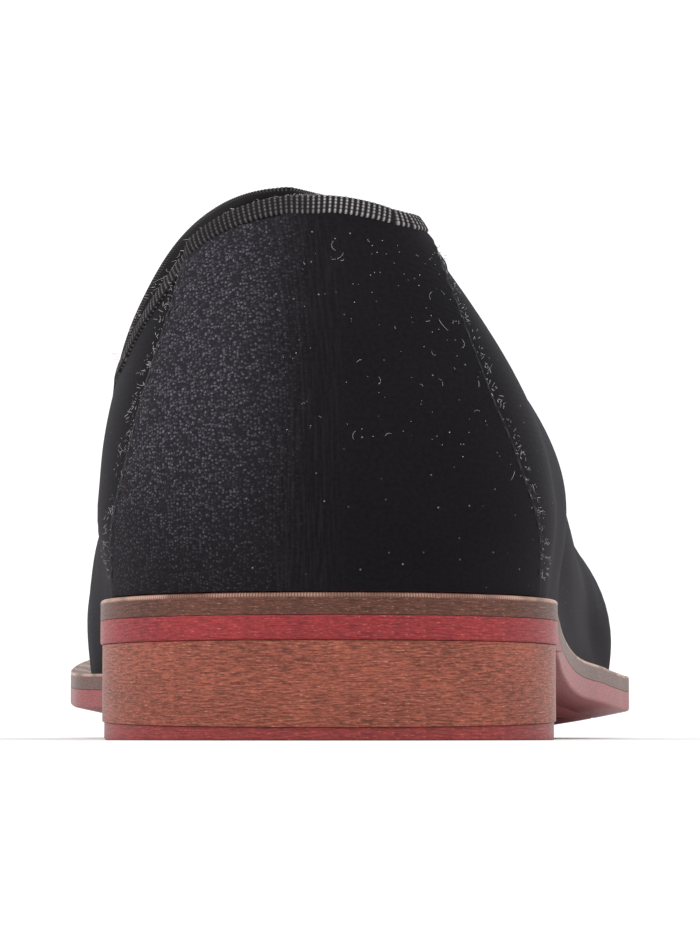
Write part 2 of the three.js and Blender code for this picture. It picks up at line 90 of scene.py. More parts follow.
# Upper
WALL = 2
LEDGE = 4.2
BACK_HEIGHT = 55.2
SIDE_HEIGHT = 33
INSTEP_HEIGHT = 88.3
TOE_HEIGHT = 20
THROAT = 145
RIDGE_OFFSET = 8
BULGE_HEIGHT = 15
BACK_BULGE = 4
COLLAR_SET = 6
TOE_BULGE = 1
TOE_SET = 14
PANEL_LIFT = 0.45
PANEL_THICKNESS = 0.8
PANEL_FACE = PANEL_LIFT + PANEL_THICKNESS

# Ribbon: how far it hangs down outside and inside the rim, and how far it stands off the velvet
RIBBON_WIDTH = 3
RIBBON_INSIDE = 0.8
RIBBON_PROUD = 0.35
RIBBON_OVER_PANEL = 1.4
RIB_HEIGHT = 0.14

# Layers of the wall, as depths below the velvet's face
VELVET_BACK = 0.9
LINING_FACE = 1.45

# Rows of the back panel below and above its widest line, and how far its stitches are drawn in
PANEL_TUCK = 6
PANEL_FLANK = 64
PANEL_ROWS = PANEL_TUCK + PANEL_FLANK
STITCH_INSET = 0.045


def table(columns, *rows):
    """Rows with named columns."""
    row = namedtuple("Row", columns)
    return [row(*values) for values in rows]


# How far the two sides lie from the heel's middle line, as shares of the width named
SOLE_OUTLINE = table(
    "at lateral medial of",
    (0, 0.5, 0.5, HEEL_WIDTH),
    (0.117, 0.503, 0.503, HEEL_WIDTH),
    (0.213, 0.53, 0.477, HEEL_WIDTH),
    (0.317, 0.584, 0.429, HEEL_WIDTH),
    (0.4, 0.604, 0.39, WAIST_WIDTH),
    (0.5, 0.456, 0.323, BALL_WIDTH),
    (0.575, 0.497, 0.407, BALL_WIDTH),
    (0.633, 0.522, 0.459, BALL_WIDTH),
    (0.683, 0.521, 0.476, BALL_WIDTH),
    (1, 0.43, 0.57, BALL_WIDTH),
)
WALL_OUTLINE = table(
    "at lateral medial of",
    (0, 0.515, 0.515, HEEL_WIDTH),
    (0.117, 0.497, 0.508, HEEL_WIDTH),
    (0.213, 0.553, 0.522, HEEL_WIDTH),
    (0.333, 0.52, 0.543, WAIST_WIDTH),
    (0.433, 0.593, 0.523, WAIST_WIDTH),
    (0.533, 0.43, 0.387, BALL_WIDTH),
    (0.623, 0.488, 0.431, BALL_WIDTH),
    (0.683, 0.49, 0.446, BALL_WIDTH),
    (1, 0.398, 0.538, BALL_WIDTH),
)

# Underside along the middle: shares of the heel height, toe spring and tread flat
BOTTOM = table(
    "at heel spring tread",
    (0, 1, 0, 0),
    (0.12, 0.995, 0, 0),
    (0.213, 0.97, 0, 0),
    (0.283, 0.73, 0, 0.2),
    (0.35, 0.53, 0, 0.4),
    (0.417, 0.36, 0, 0.6),
    (0.483, 0.21, 0, 0.8),
    (0.55, 0.1, 0, 1),
    (0.643, 0, 0, 1),
    (0.69, 0, 0, 1),
    (0.75, 0, 0.07, 1),
    (0.833, 0, 0.28, 0.8),
    (0.917, 0, 0.6, 0.4),
    (1, 0, 1, 0),
)

# How much of the tread's rounding the bottom has, and how much of the ledge shows round the upper
EDGES = table(
    "at crown ledge",
    (0, 0, 0.38),
    (0.22, 0, 0.33),
    (0.36, 0.4, 0.36),
    (0.5, 1, 0.7),
    (0.65, 1, 1),
    (0.85, 1, 1),
    (1, 0.7, 0.95),
)

# Height of the widest line, as a share of the bulge height, and how far each flank leans in
FLANKS = table(
    "at lateral medial lateral_lean medial_lean",
    (0, 1.2, 1.2, 0.7, 0.7),
    (0.1, 0.83, 0.9, 1.51, 1.07),
    (0.18, 0.92, 0.9, 1.71, 0.95),
    (0.33, 0.97, 1.2, 0.89, 0.24),
    (0.42, 0.88, 1.24, 0.56, 0.06),
    (0.483, 0.75, 1.2, 0.71, 0.02),
    (0.55, 0.6, 1.1, 0.89, 0),
    (0.65, 0.45, 0.75, 0.5, 0),
    (0.85, 0.45, 0.6, 0.15, 0),
    (1, 0.4, 0.4, 0, 0),
)

# Height of the last's ridge over the welt, as a share of the height named
RIDGE = table(
    "at high of",
    (0, 0.95, INSTEP_HEIGHT),
    (0.2, 0.97, INSTEP_HEIGHT),
    (0.35, 0.995, INSTEP_HEIGHT),
    (0.483, 1, INSTEP_HEIGHT),
    (0.55, 0.875, INSTEP_HEIGHT),
    (0.62, 0.737, INSTEP_HEIGHT),
    (0.69, 0.62, INSTEP_HEIGHT),
    (0.8, 0.462, INSTEP_HEIGHT),
    (0.9, 0.335, INSTEP_HEIGHT),
    (1, 1, TOE_HEIGHT),
)

# Seams of the back panel, as shares of the heel width at shares of the back height
PANEL_SEAMS = table(
    "at lateral medial",
    (0, 0.442, 0.455),
    (0.13, 0.446, 0.46),
    (0.34, 0.395, 0.423),
    (0.48, 0.345, 0.392),
    (0.7, 0.275, 0.335),
    (0.86, 0.225, 0.3),
    (1, 0.195, 0.27),
)

# Creases: where each runs from and to, as shares of the sole length and levels of the last, its
# width, and its depth at the middle; a negative depth is a ridge
CREASES = table(
    "side start start_level end end_level width depth",
    (LATERAL, 0.545, 1.15, 0.6, 1.72, 5, 0.55),
    (LATERAL, 0.585, 1.05, 0.628, 1.55, 4, 0.4),
    (LATERAL, 0.5, 1.1, 0.52, 1.5, 6, 0.35),
    (LATERAL, 0.3, 0.7, 0.44, 1.02, 7, 0.5),
    (LATERAL, 0.2, 0.85, 0.28, 1.1, 6, 0.3),
    (MEDIAL, 0.55, 1.12, 0.605, 1.66, 5, 0.5),
    (MEDIAL, 0.59, 1.05, 0.64, 1.48, 4, 0.35),
    (MEDIAL, 0.32, 0.75, 0.46, 1.08, 8, 0.5),
    (MEDIAL, 0.22, 0.9, 0.3, 1.2, 6, 0.3),
    (LATERAL, 0.07, 0.75, 0.15, 0.95, 5, -0.25),
    (MEDIAL, 0.07, 0.75, 0.15, 0.95, 5, -0.25),
)


class Curve:
    """Smooth curve through one column of a table, never steeper than its rows allow."""

    def __init__(self, rows, read):
        self.at = [row.at for row in rows]
        self.value = [read(row) for row in rows]
        steps = range(len(rows) - 1)
        rises = [(self.value[i + 1] - self.value[i]) / (self.at[i + 1] - self.at[i]) for i in steps]
        inner = [0 if a * b <= 0 else 2 * a * b / (a + b) for a, b in zip(rises, rises[1:])]
        self.slope = [rises[0], *inner, rises[-1]]

    def __call__(self, at):
        row = min(max(bisect_right(self.at, at) - 1, 0), len(self.at) - 2)
        span = self.at[row + 1] - self.at[row]
        u = (at - self.at[row]) / span
        rise = self.value[row + 1] - self.value[row]
        leave = self.slope[row] * span
        arrive = self.slope[row + 1] * span
        bend = 3 * rise - 2 * leave - arrive
        return self.value[row] + u * (leave + u * (bend + u * (leave + arrive - 2 * rise)))


def both_sides(rows, read):
    """A curve for each side of a table."""
    return {side: Curve(rows, lambda row, name=name: read(row, name))
            for side, name in ((LATERAL, "lateral"), (MEDIAL, "medial"))}


SOLE = both_sides(SOLE_OUTLINE, lambda row, name: getattr(row, name) * row.of)
WALLS = both_sides(WALL_OUTLINE, lambda row, name: getattr(row, name) * row.of)
BULGES = both_sides(FLANKS, lambda row, name: getattr(row, name) * BULGE_HEIGHT)
LEANS = both_sides(FLANKS, lambda row, name: getattr(row, name + "_lean"))
SEAMS = both_sides(PANEL_SEAMS, lambda row, name: getattr(row, name) * HEEL_WIDTH)
HEEL = Curve(BOTTOM, lambda row: row.heel * HEEL_HEIGHT)
SPRING = Curve(BOTTOM, lambda row: row.spring * TOE_SPRING)
TREAD = Curve(BOTTOM, lambda row: row.tread * TREAD_FLAT)
CROWN = Curve(EDGES, lambda row: row.crown)
LEDGES = Curve(EDGES, lambda row: row.ledge * LEDGE)
RIDGES = Curve(RIDGE, lambda row: row.high * row.of)


def clamp(value, low=0.0, high=1.0):
    return min(max(value, low), high)


def smooth(low, high, value):
    """0 below low, 1 above high and a soft step between them."""
    share = clamp((value - low) / (high - low))
    return share * share * (3 - 2 * share)


def mix(a, b, share):
    return a + (b - a) * share


def end_round(along):
    """Both ends of every outline close in a round: the heel's back and the toe."""
    back = clamp(along * SOLE_LENGTH / HEEL_ROUND)
    front = max(0, (along - BALL_AT) / (1 - BALL_AT))
    heel = (1 - (1 - back) ** HEEL_FULLNESS) ** (1 / HEEL_FULLNESS)
    return heel * max(0, 1 - front ** TOE_FULLNESS) ** TOE_ROUNDNESS


def outline_x(curves, side, along, inset):
    """One side of an outline, drawn in by an inset."""
    lateral = curves[LATERAL](along)
    medial = curves[MEDIAL](along)
    half = (lateral + medial) / 2 - inset
    return (lateral - medial) / 2 + side * half * end_round(along)


def sole_bottom(x, y):
    """Underside of the sole before the tread is worn flat."""
    along = clamp(y / SOLE_LENGTH)
    crown = CROWN(along) * (x - TREAD_MIDDLE) ** 2
    return HEEL(along) + SPRING(along) - TREAD(along) + crown / (2 * TREAD_RADIUS)


def outsole_bottom(x, y):
    return max(0, sole_bottom(x, y))


def welt_bottom(x, y):
    return sole_bottom(x, y) + OUTSOLE_THICKNESS


def welt_top(x, y):
    return welt_bottom(x, y) + WELT_THICKNESS


def insole_top(x, y):
    return welt_top(x, y) + GAP + INSOLE_THICKNESS


def top_piece_top(x, y):
    """Top of the heel's wear layer, a wedge that grows towards the breast."""
    return TOP_PIECE_AT_BACK + (TOP_PIECE_AT_BREAST - TOP_PIECE_AT_BACK) * (y / HEEL_LENGTH)


Section = namedtuple("Section", "y feather_x feather_z wide_x wide_z lean top_z")


@lru_cache(maxsize=None)
def section(side, along):
    """Feather edge, widest line and ridge of one section of the last on one side."""
    y = LEDGES(0) + along * (SOLE_LENGTH - LEDGES(0) - LEDGES(1))
    feather_x = outline_x(SOLE, side, along, LEDGES(along))
    feather_z = welt_top(feather_x, y) + GAP
    ridge = RIDGES(along) + welt_top(TREAD_MIDDLE, along * SOLE_LENGTH) + GAP
    return Section(y, feather_x, feather_z, outline_x(WALLS, side, along, 0),
                   feather_z + BULGES[side](along), LEANS[side](along), ridge)


def last_point(side, along, level):
    """Point of the last: the level climbs from the feather edge (0) over the widest line (1) to the
    ridge (2)."""
    at = section(side, along)
    tuck = min(level, 1)
    climb = max(level - 1, 0) * math.pi / 2
    swell = math.sin(tuck * math.pi / 2)
    low = mix(at.feather_x, at.wide_x, swell)
    narrowing = math.cos(climb) * (1 - at.lean * math.sin(climb) ** 2)
    x = -RIDGE_OFFSET + (low + RIDGE_OFFSET) * narrowing
    z = mix(at.feather_z, at.wide_z, tuck) + (at.top_z - at.wide_z) * math.sin(climb)
    high = max(0, z - SEAT) / BACK_HEIGHT
    back_set = COLLAR_SET * high ** 2 - BACK_BULGE * math.sin(math.pi * min(high, 1))
    toe_set = TOE_BULGE * swell - (TOE_SET + TOE_BULGE) * (1 - math.cos(climb))
    return np.array((x, at.y + back_set * (1 - along) ** 6 + toe_set * along ** 8, z))


def level_of(side, along, height):
    """Level at which one side of the last reaches a height."""
    at = section(side, along)
    sine = clamp((height - at.wide_z) / (at.top_z - at.wide_z))
    return 1 + math.asin(sine) / (math.pi / 2)


THROAT_RISE = section(LATERAL, THROAT / SOLE_LENGTH).top_z - SEAT

# Height of the topline over the seat, at shares of the way from the heel's back to the throat
TOPLINE = table(
    "at lateral medial of",
    (0, 1, 1, BACK_HEIGHT),
    (0.034, 0.963, 0.939, BACK_HEIGHT),
    (0.062, 0.962, 0.879, BACK_HEIGHT),
    (0.09, 0.905, 0.8, BACK_HEIGHT),
    (0.125, 0.893, 0.718, BACK_HEIGHT),
    (0.165, 0.868, 0.634, BACK_HEIGHT),
    (0.215, 0.785, 0.628, BACK_HEIGHT),
    (0.31, 1.216, 0.896, SIDE_HEIGHT),
    (0.44, 1.2, 0.82, SIDE_HEIGHT),
    (0.56, 1.21, 1.035, SIDE_HEIGHT),
    (0.69, 1.292, 1.535, SIDE_HEIGHT),
    (0.77, 0.652, 0.792, THROAT_RISE),
    (0.83, 0.748, 0.863, THROAT_RISE),
    (0.91, 0.942, 0.934, THROAT_RISE),
    (1, 1, 1, THROAT_RISE),
)
TOPLINES = both_sides(TOPLINE, lambda row, name: SEAT + getattr(row, name) * row.of)


class Rim:
    """The topline, lowered square to itself by a width: its level on each side of the last, and the
    place where its two sides meet on the ridge."""

    STEPS = 80

    def __init__(self, lowered):
        self.lines = {side: self.line(side, lowered) for side in (LATERAL, MEDIAL)}
        low, high = THROAT / SOLE_LENGTH - 0.02, THROAT / SOLE_LENGTH + 0.06
        for _ in range(40):
            middle = (low + high) / 2
            ridge = section(LATERAL, middle).top_z
            if min(self.height(side, middle) for side in (LATERAL, MEDIAL)) >= ridge:
                high = middle
            else:
                low = middle
        self.closes_at = high

    def line(self, side, lowered):
        places, heights = [], []
        nudge = 0.5 / self.STEPS
        run = 2 * nudge * THROAT
        for step in range(self.STEPS + 1):
            share = step / self.STEPS
            rise = TOPLINES[side](min(1, share + nudge)) - TOPLINES[side](max(0, share - nudge))
            climb = rise if step else 0
            length = math.hypot(run, climb)
            place = share * THROAT + lowered * climb / length
            if not places or place > places[-1]:
                places.append(place)
                heights.append(TOPLINES[side](share) - lowered * run / length)
        return places, heights

    def height(self, side, along):
        return float(np.interp(along * SOLE_LENGTH, *self.lines[side]))

    @lru_cache(maxsize=None)
    def level(self, side, along):
        return 2 if along >= self.closes_at else level_of(side, along, self.height(side, along))


RIBBON_TOP = Rim(0)
VELVET_RIM = Rim(0.9)
LINING_RIM = Rim(0.65)
PANEL_RIM = Rim(RIBBON_WIDTH - 0.5)


def eased(count, start, end):
    """Places between two ends, closer together near both."""
    return [mix(start, end, (1 - math.cos(math.pi * i / count)) / 2) for i in range(count + 1)]


def levels_up_to(rim, tuck, flank):
    return [i / tuck for i in range(tuck)] + [mix(1, rim, i / flank) for i in range(flank + 1)]


def unit(vector):
    return vector / max(np.linalg.norm(vector), 1e-12)


class Sheet:
    """Points in millimetres with a place on the weave each, and the faces between them. Points in one
    place count as one."""

    def __init__(self):
        self.points = []
        self.uvs = []
        self.faces = []

    def grid(self, points, uvs, flip=False):
        """Faces between the rows of a grid of points."""
        start = len(self.points)
        wide = len(points[0])
        for row, uv_row in zip(points, uvs):
            self.points.extend(row)
            self.uvs.extend(uv_row)
        for i in range(len(points) - 1):
            for j in range(wide - 1):
                a = start + i * wide + j
                face = (a, a + wide, a + wide + 1, a + 1)
                self.faces.append(face[::-1] if flip else face)

    def welded(self):
        """For each point, the number that it shares with all points in its place."""
        places = np.round(np.array(self.points), 4)
        return np.unique(places, axis=0, return_inverse=True)[1].reshape(-1)

    def normals(self):
        points = np.array(self.points)
        corners = points[np.array(self.faces)]
        spans = np.cross(corners[:, 2] - corners[:, 0], corners[:, 3] - corners[:, 1])
        ids = self.welded()
        total = np.zeros((ids.max() + 1, 3))
        for corner in range(4):
            np.add.at(total, ids[np.array(self.faces)[:, corner]], spans)
        lengths = np.linalg.norm(total, axis=1, keepdims=True)
        return (total / np.maximum(lengths, 1e-12))[ids]

    def shell(self, outer, inner, keeps_height=None):
        """Closed sheet: each point moves out and in by its own distances, and the borders are closed."""
        normals = self.normals()
        points = np.array(self.points)
        count = len(points)
        faces_out = points + normals * np.array(outer).reshape(-1, 1)
        faces_in = points - normals * np.array(inner).reshape(-1, 1)
        if keeps_height is not None:
            faces_out[keeps_height, 2] = points[keeps_height, 2]
            faces_in[keeps_height, 2] = points[keeps_height, 2]
        made = Sheet()
        made.points = [*faces_out, *faces_in]
        made.uvs = [*self.uvs, *self.uvs]
        ids = self.welded()
        borders = {}
        for face in self.faces:
            made.faces.append(face)
            made.faces.append(tuple(i + count for i in face[::-1]))
            for a, b in zip(face, face[1:] + face[:1]):
                if ids[a] == ids[b]:
                    continue
                if borders.pop((ids[b], ids[a]), None) is None:
                    borders[ids[a], ids[b]] = (a, b)
        for a, b in borders.values():
            made.faces.append((b, a, a + count, b + count))
        return made

    def tube(self, path, radius, sides=4):
        """Thin closed tube along a path."""
        start = len(self.points)
        count = len(path)
        for i, point in enumerate(path):
            ahead = unit(path[min(i + 1, count - 1)] - path[max(i - 1, 0)])
            across = unit(np.cross(ahead, (0.31, 0.22, 0.92)))
            up = np.cross(ahead, across)
            thin = 0.45 if i in (0, count - 1) else 1
            for k in range(sides):
                angle = 2 * math.pi * k / sides
                self.points.append(point + radius * thin * (math.cos(angle) * across + math.sin(angle) * up))
                self.uvs.append((0, 0))
        for i in range(count - 1):
            for k in range(sides):
                a = start + i * sides + k
                b = start + i * sides + (k + 1) % sides
                self.faces.append((a, b, b + sides, a + sides))
        self.faces.append(tuple(start + k for k in range(sides))[::-1])
        self.faces.append(tuple(start + (count - 1) * sides + k for k in range(sides)))


def piece(name, sheet, material, replaced=(), sharp=50):
    """Object from a sheet, in metres and in the frame's place, that rides with the shoe."""
    old = bpy.data.objects.get(name)
    if old is not None:
        bpy.data.objects.remove(old)
    mesh = bpy.data.meshes.new(name)
    places = (np.array(sheet.points) - (0, HEEL_LENGTH / 2, 0)) * MM
    mesh.from_pydata(places.tolist(), [], [list(face) for face in sheet.faces])
    layer = mesh.uv_layers.new(name=WEAVE)
    corners = np.zeros(len(mesh.loops), np.int32)
    mesh.loops.foreach_get("vertex_index", corners)
    layer.data.foreach_set("uv", np.array(sheet.uvs, np.float32)[corners].ravel())
    shape = bmesh.new()
    shape.from_mesh(mesh)
    bmesh.ops.remove_doubles(shape, verts=shape.verts, dist=2e-7)
    bmesh.ops.dissolve_degenerate(shape, edges=shape.edges, dist=1e-7)
    shape.to_mesh(mesh)
    shape.free()
    mesh.shade_smooth()
    mesh.set_sharp_from_angle(angle=math.radians(sharp))
    mesh.materials.append(material)
    made = bpy.data.objects.new(name, mesh)
    bpy.context.scene.collection.objects.link(made)
    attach(made, "root")
    if replaced:
        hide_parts(*replaced)
    return made


class Socket:
    """A value in a material's nodes. Sums, differences, products and powers of values are nodes too."""

    def __init__(self, tree, link=None):
        self.tree = tree
        self.link = link

    def node(self, kind, settings=None, values=None, output=0):
        """New node: its settings first, then its sockets, each a number or another value."""
        made = self.tree.nodes.new("ShaderNode" + kind)
        for name, value in (settings or {}).items():
            setattr(made, name, value)
        for name, value in (values or {}).items():
            if isinstance(value, Socket):
                self.tree.links.new(value.link, made.inputs[name])
            else:
                made.inputs[name].default_value = value
        return Socket(self.tree, made.outputs[output] if made.outputs else None)

    def math(self, operation, *values):
        """Math node on the values given, or on this one alone."""
        return self.node("Math", {"operation": operation}, dict(enumerate(values or (self,))))

    def __add__(self, other):
        return self.math("ADD", self, other)

    def __radd__(self, other):
        return self.math("ADD", other, self)

    def __sub__(self, other):
        return self.math("SUBTRACT", self, other)

    def __mul__(self, other):
        return self.math("MULTIPLY", self, other)

    def __rmul__(self, other):
        return self.math("MULTIPLY", other, self)

    def __pow__(self, other):
        return self.math("POWER", self, other)

    def step(self, low, high, start=0, end=1):
        """Soft step of this value from one level to another."""
        return self.node("MapRange", {"interpolation_type": "SMOOTHSTEP"}, {
            "Value": self, "From Min": low, "From Max": high, "To Min": start, "To Max": end})

    def axis(self, name):
        return self.node("SeparateXYZ", values={"Vector": self}, output=name)

    def stretched(self, x, y, z=1):
        """This vector with its axes scaled."""
        return self.node("VectorMath", {"operation": "MULTIPLY"}, {0: self, 1: (x, y, z)})

    def noise(self, scale, detail=2, roughness=0.5):
        """Noise on this vector, from 0 to 1."""
        return self.node("TexNoise", values={
            "Vector": self, "Scale": scale, "Detail": detail, "Roughness": roughness})

    def cells(self, scale, randomness, output="Distance"):
        """Cells on the first two axes of this vector: the distance to their middles, or a colour each."""
        return self.node("TexVoronoi", {"voronoi_dimensions": "2D"}, {
            "Vector": self, "Scale": scale, "Randomness": randomness}, output)

    def blend(self, first, second):
        """Two colours mixed by this value."""
        return self.node("Mix", {"data_type": "RGBA"}, {0: self, 6: first, 7: second}, 2)

    def bump(self, strength, distance, height):
        return self.node("Bump", values={
            "Strength": strength, "Distance": distance * MM, "Height": height}, output="Normal")


def new_material(name):
    """Empty material, and the value that its nodes start from."""
    old = bpy.data.materials.get(name)
    if old is not None:
        bpy.data.materials.remove(old)
    material = bpy.data.materials.new(name)
    material.use_nodes = True
    material.node_tree.nodes.clear()
    return material, Socket(material.node_tree)


def surface(start, values):
    """Ends a material in a Principled shader."""
    shader = start.node("BsdfPrincipled", values=values)
    start.node("OutputMaterial", values={"Surface": shader})


def rgba(colour, share=1.0):
    return (*(channel * share for channel in colour), 1)


def velvet_material(name, look, dotted):
    """Short pile: nap, loose specks and faint rows. The panel also has a grain of dots that carry a painted
    sheen on the inner side of the heel, where the light falls, a grey veil of painted sheen there that
    grows towards the top, faint streaks beside them and plain pile on the outer side."""
    material, start = new_material(name)
    weave = start.node("UVMap", {"uv_map": WEAVE}, output="UV")
    place = start.node("TexCoord", output="Object")
    nap = weave.noise(1.6, 3, 0.65)
    drift = weave.noise(0.035, 2, 0.5)
    rows = (weave.axis("Y") * (2 * math.pi / (look.row_pitch / MM))).math("SINE")
    patches = weave.noise(0.09, 1).step(0.4, 0.65)
    shade = nap * 0.7 + drift * 0.5
    base = shade.step(0.25, 0.95).blend(rgba(look.pile_colour, 0.6), rgba(look.pile_colour, 1.4))
    height = nap * 0.7 + rows * patches * 0.12
    if dotted:
        x = place.axis("X")
        # Painted sheen: the inner side of the heel, where the light falls, is painted brighter, more so
        # towards the top
        lit_inner_side = x.step(-15.5 * MM, -1 * MM, 1, 0)
        painted_sheen = lit_inner_side * place.axis("Z").step(20 * MM, 52 * MM, 0.22, 1)
        grid = weave.stretched(1, 1.25)
        scale = MM / look.dot_pitch
        dots = grid.cells(scale, 0.9).step(0.08, 0.62, 1, 0)
        bright = grid.cells(scale, 0.9, "Color").axis("X") ** 1.7
        grain = weave.stretched(2.4, 1.3).noise(2.4, 3, 0.75).step(0.4, 0.68)
        # Painted glint on the dots of the lit inner side
        dot_glint = (dots * (0.02 + 1.25 * bright) * (0.1 + 1.1 * grain) + grain ** 3 * 0.1) * painted_sheen
        streaks = weave.stretched(2.2, 0.14).noise(1.2, 2).step(0.4, 0.7)
        centre = x.step(-11 * MM, -6 * MM) * x.step(-1 * MM, 4 * MM, 1, 0)
        # Grey veil of painted sheen on the lit side, and faint streaks in the pile
        base = (painted_sheen * 0.06 + streaks * centre * 0.035).blend(base, rgba(look.dot_colour))
        base = (dot_glint * drift.step(0.3, 0.7, 0.7, 1)).blend(base, rgba(look.dot_colour, 1.6))
        height = height + dot_glint * 0.9 + streaks * centre * 0.1
    speck = weave.cells(0.2, 1).step(0.012, 0.032, 1, 0) * weave.cells(0.2, 1, "Color").axis("X") ** 2
    base = (speck * 0.6).blend(base, rgba(look.dot_colour, 2.2))
    surface(start, {
        "Base Color": base,
        "Roughness": 0.95,
        "Specular IOR Level": 0.05,
        "Sheen Weight": look.sheen,
        "Sheen Roughness": 0.42,
        "Sheen Tint": rgba((0.93, 0.9, 1.0)),
        "Normal": start.bump(0.6, 0.12, height),
    })
    return material


def ribbon_material(name, look):
    """Ribbed ribbon: beaded threads on the ribs, with a painted highlight on the rib crests and painted
    shade between them, brightest in patches near the middle of the back, and plain on its inner side."""
    material, start = new_material(name)
    weave = start.node("UVMap", {"uv_map": WEAVE}, output="UV")
    pitch = look.rib_pitch / MM
    rib = (weave.axis("X") * (math.pi / pitch)).math("SINE").math("ABSOLUTE")
    beads = (weave.axis("Y") * (math.pi / (0.75 * pitch))).math("SINE").math("ABSOLUTE")
    thread = weave.noise(0.9, 2, 0.6).step(0.3, 0.65, 0.6, 1)
    # Patches where the painted highlight on the crests is strongest
    worn = weave.noise(0.06, 2).step(0.38, 0.62, 0.25, 1)
    outside = weave.axis("Y").step(-0.7, 0.3)
    x = start.node("TexCoord", output="Object").axis("X")
    # The painted highlight is strongest near the middle of the back
    middle = x.step(-20 * MM, -2 * MM, 0.3, 1) * x.step(12 * MM, 24 * MM, 1, 0.45)
    # Painted highlight on the rib crests and painted shade in the gaps between them
    lit_crest = rib ** 6 * beads.step(0.2, 0.95, 0.15, 1) * thread * outside
    base = lit_crest.blend(rgba(look.ribbon_colour, 0.5), rgba(look.ribbon_colour, 2.2))
    base = (lit_crest * worn * middle).blend(base, rgba(look.ribbon_colour, 16))
    surface(start, {
        "Base Color": base,
        "Roughness": 0.75,
        "Specular IOR Level": 0.04,
        "Sheen Weight": 0.01,
        "Sheen Roughness": 0.5,
        "Normal": start.bump(0.5, 0.08, thread),
    })
    return material


def edge_material(name, colour, look, streaks=0.5, wheel=0, gloss=0.5, layers=0):
    """Dyed and waxed leather edge: fine streaks along it, pores and rubbed spots. The heel also has the
    lines between its layers, and the welt the marks of a wheel along its upper corner, with a painted
    highlight on them in patches that grows towards both ends of the welt."""
    material, start = new_material(name)
    weave = start.node("UVMap", {"uv_map": WEAVE}, output="UV")
    fibre = weave.stretched(0.4, 3.6).noise(1.1, 3, 0.6)
    fine = weave.stretched(1.1, 5).noise(1.2, 2, 0.7)
    blotch = weave.stretched(1, 2).noise(0.07, 3)
    pores = weave.stretched(0.55, 1.6).cells(0.9, 1).step(0.05, 0.13, 1, 0)
    spread = 0.36 - 0.4 * streaks
    shade = fibre * 0.5 + fine * 0.35 + blotch * 0.15
    base = shade.step(0.5 - spread, 0.5 + spread).blend(rgba(colour, 0.45), rgba(colour, 1.55))
    flecks = fine.step(0.6, 0.72) * fibre.step(0.42, 0.6)
    base = (flecks * streaks * 1.3).blend(base, rgba(look.rubbed_colour))
    base = (pores * 0.5).blend(base, rgba(colour, 0.3))
    height = fibre * 0.5 + fine * 0.4 - pores * 0.5
    if layers:
        lines = (weave.axis("Y") * (math.pi / layers)).math("SINE").math("ABSOLUTE").step(0, 0.09, 1, 0)
        base = (lines * 0.15).blend(base, rgba(colour, 0.4))
        height = height - lines * 0.3
    if wheel:
        corner = weave.axis("Y").step(WELT_THICKNESS - 0.75, WELT_THICKNESS - 0.35)
        teeth = (weave.axis("X") * (math.pi / wheel)).math("SINE").math("ABSOLUTE")
        x = start.node("TexCoord", output="Object").axis("X")
        # Painted highlight: the wheel marks are painted brighter in patches and towards both ends of the
        # welt, where light glances off the edge
        ends = x.math("ABSOLUTE").step(16 * MM, 31 * MM, 0.45, 1)
        worn = weave.noise(0.12, 2).step(0.3, 0.62, 0.2, 1) * ends
        base = (corner * teeth * worn).blend(base, rgba(look.rubbed_colour, 1.4))
        height = height + corner * teeth * 1.2
    surface(start, {
        "Base Color": base,
        "Roughness": mix(0.6, 0.4, gloss) + fine * 0.16,
        "Specular IOR Level": 0.15,
        "Coat Weight": gloss * 0.35,
        "Coat Roughness": 0.15,
        "Normal": start.bump(0.35, 0.1, height),
    })
    return material


def leather_material(name, colour, grain=1.2, roughness=0.6):
    """Smooth leather with a fine grain and soft handling marks."""
    material, start = new_material(name)
    place = start.node("TexCoord", output="Object")
    pebbles = place.node("TexVoronoi", {"feature": "SMOOTH_F1"}, {"Vector": place, "Scale": grain / MM})
    blotch = place.noise(0.06 / MM, 3)
    base = (blotch + pebbles * 0.3).step(0.35, 0.9).blend(rgba(colour, 0.7), rgba(colour, 1.2))
    surface(start, {
        "Base Color": base,
        "Roughness": roughness + blotch * 0.15,
        "Specular IOR Level": 0.3,
        "Normal": start.bump(0.25, 0.12, pebbles),
    })
    return material


def thread_material(name, colour, sheen=0.1):
    """Fibres, with a little change of shade from one to the next."""
    material, start = new_material(name)
    place = start.node("TexCoord", output="Object")
    shade = place.noise(0.5 / MM, 1)
    surface(start, {
        "Base Color": shade.step(0.3, 0.7).blend(rgba(colour, 0.6), rgba(colour, 1.2)),
        "Roughness": 0.85,
        "Specular IOR Level": 0.2,
        "Sheen Weight": sheen,
    })
    return material


def crease_depth(side, y, height, creases):
    """Soft troughs with low ridges beside them, placed on the side of the shoe."""
    depth = 0
    for crease in creases:
        if crease["side"] != side:
            continue
        start, end = crease["start"], crease["end"]
        line = end - start
        share = clamp(float(np.dot((y, height) - start, line) / np.dot(line, line)))
        away = math.hypot(*((y, height) - (start + share * line))) / crease["width"]
        taper = math.sin(math.pi * clamp(0.12 + 0.76 * share))
        depth += crease["depth"] * taper * (1 - 1.2 * away ** 2) * math.exp(-away ** 2)
    return depth


def placed_creases():
    """The table of creases with its ends in millimetres along and up the shoe."""
    placed = []
    for row in CREASES:
        start = last_point(row.side, row.start, row.start_level)[1:]
        end = last_point(row.side, row.end, row.end_level)[1:]
        placed.append({"side": row.side, "start": start, "end": end, "width": row.width,
                       "depth": row.depth})
    return placed


def lengths_along(points):
    """Length along a line of points up to each of them."""
    steps = np.linalg.norm(np.diff(np.array(points), axis=0), axis=1)
    return [0, *np.cumsum(steps)]


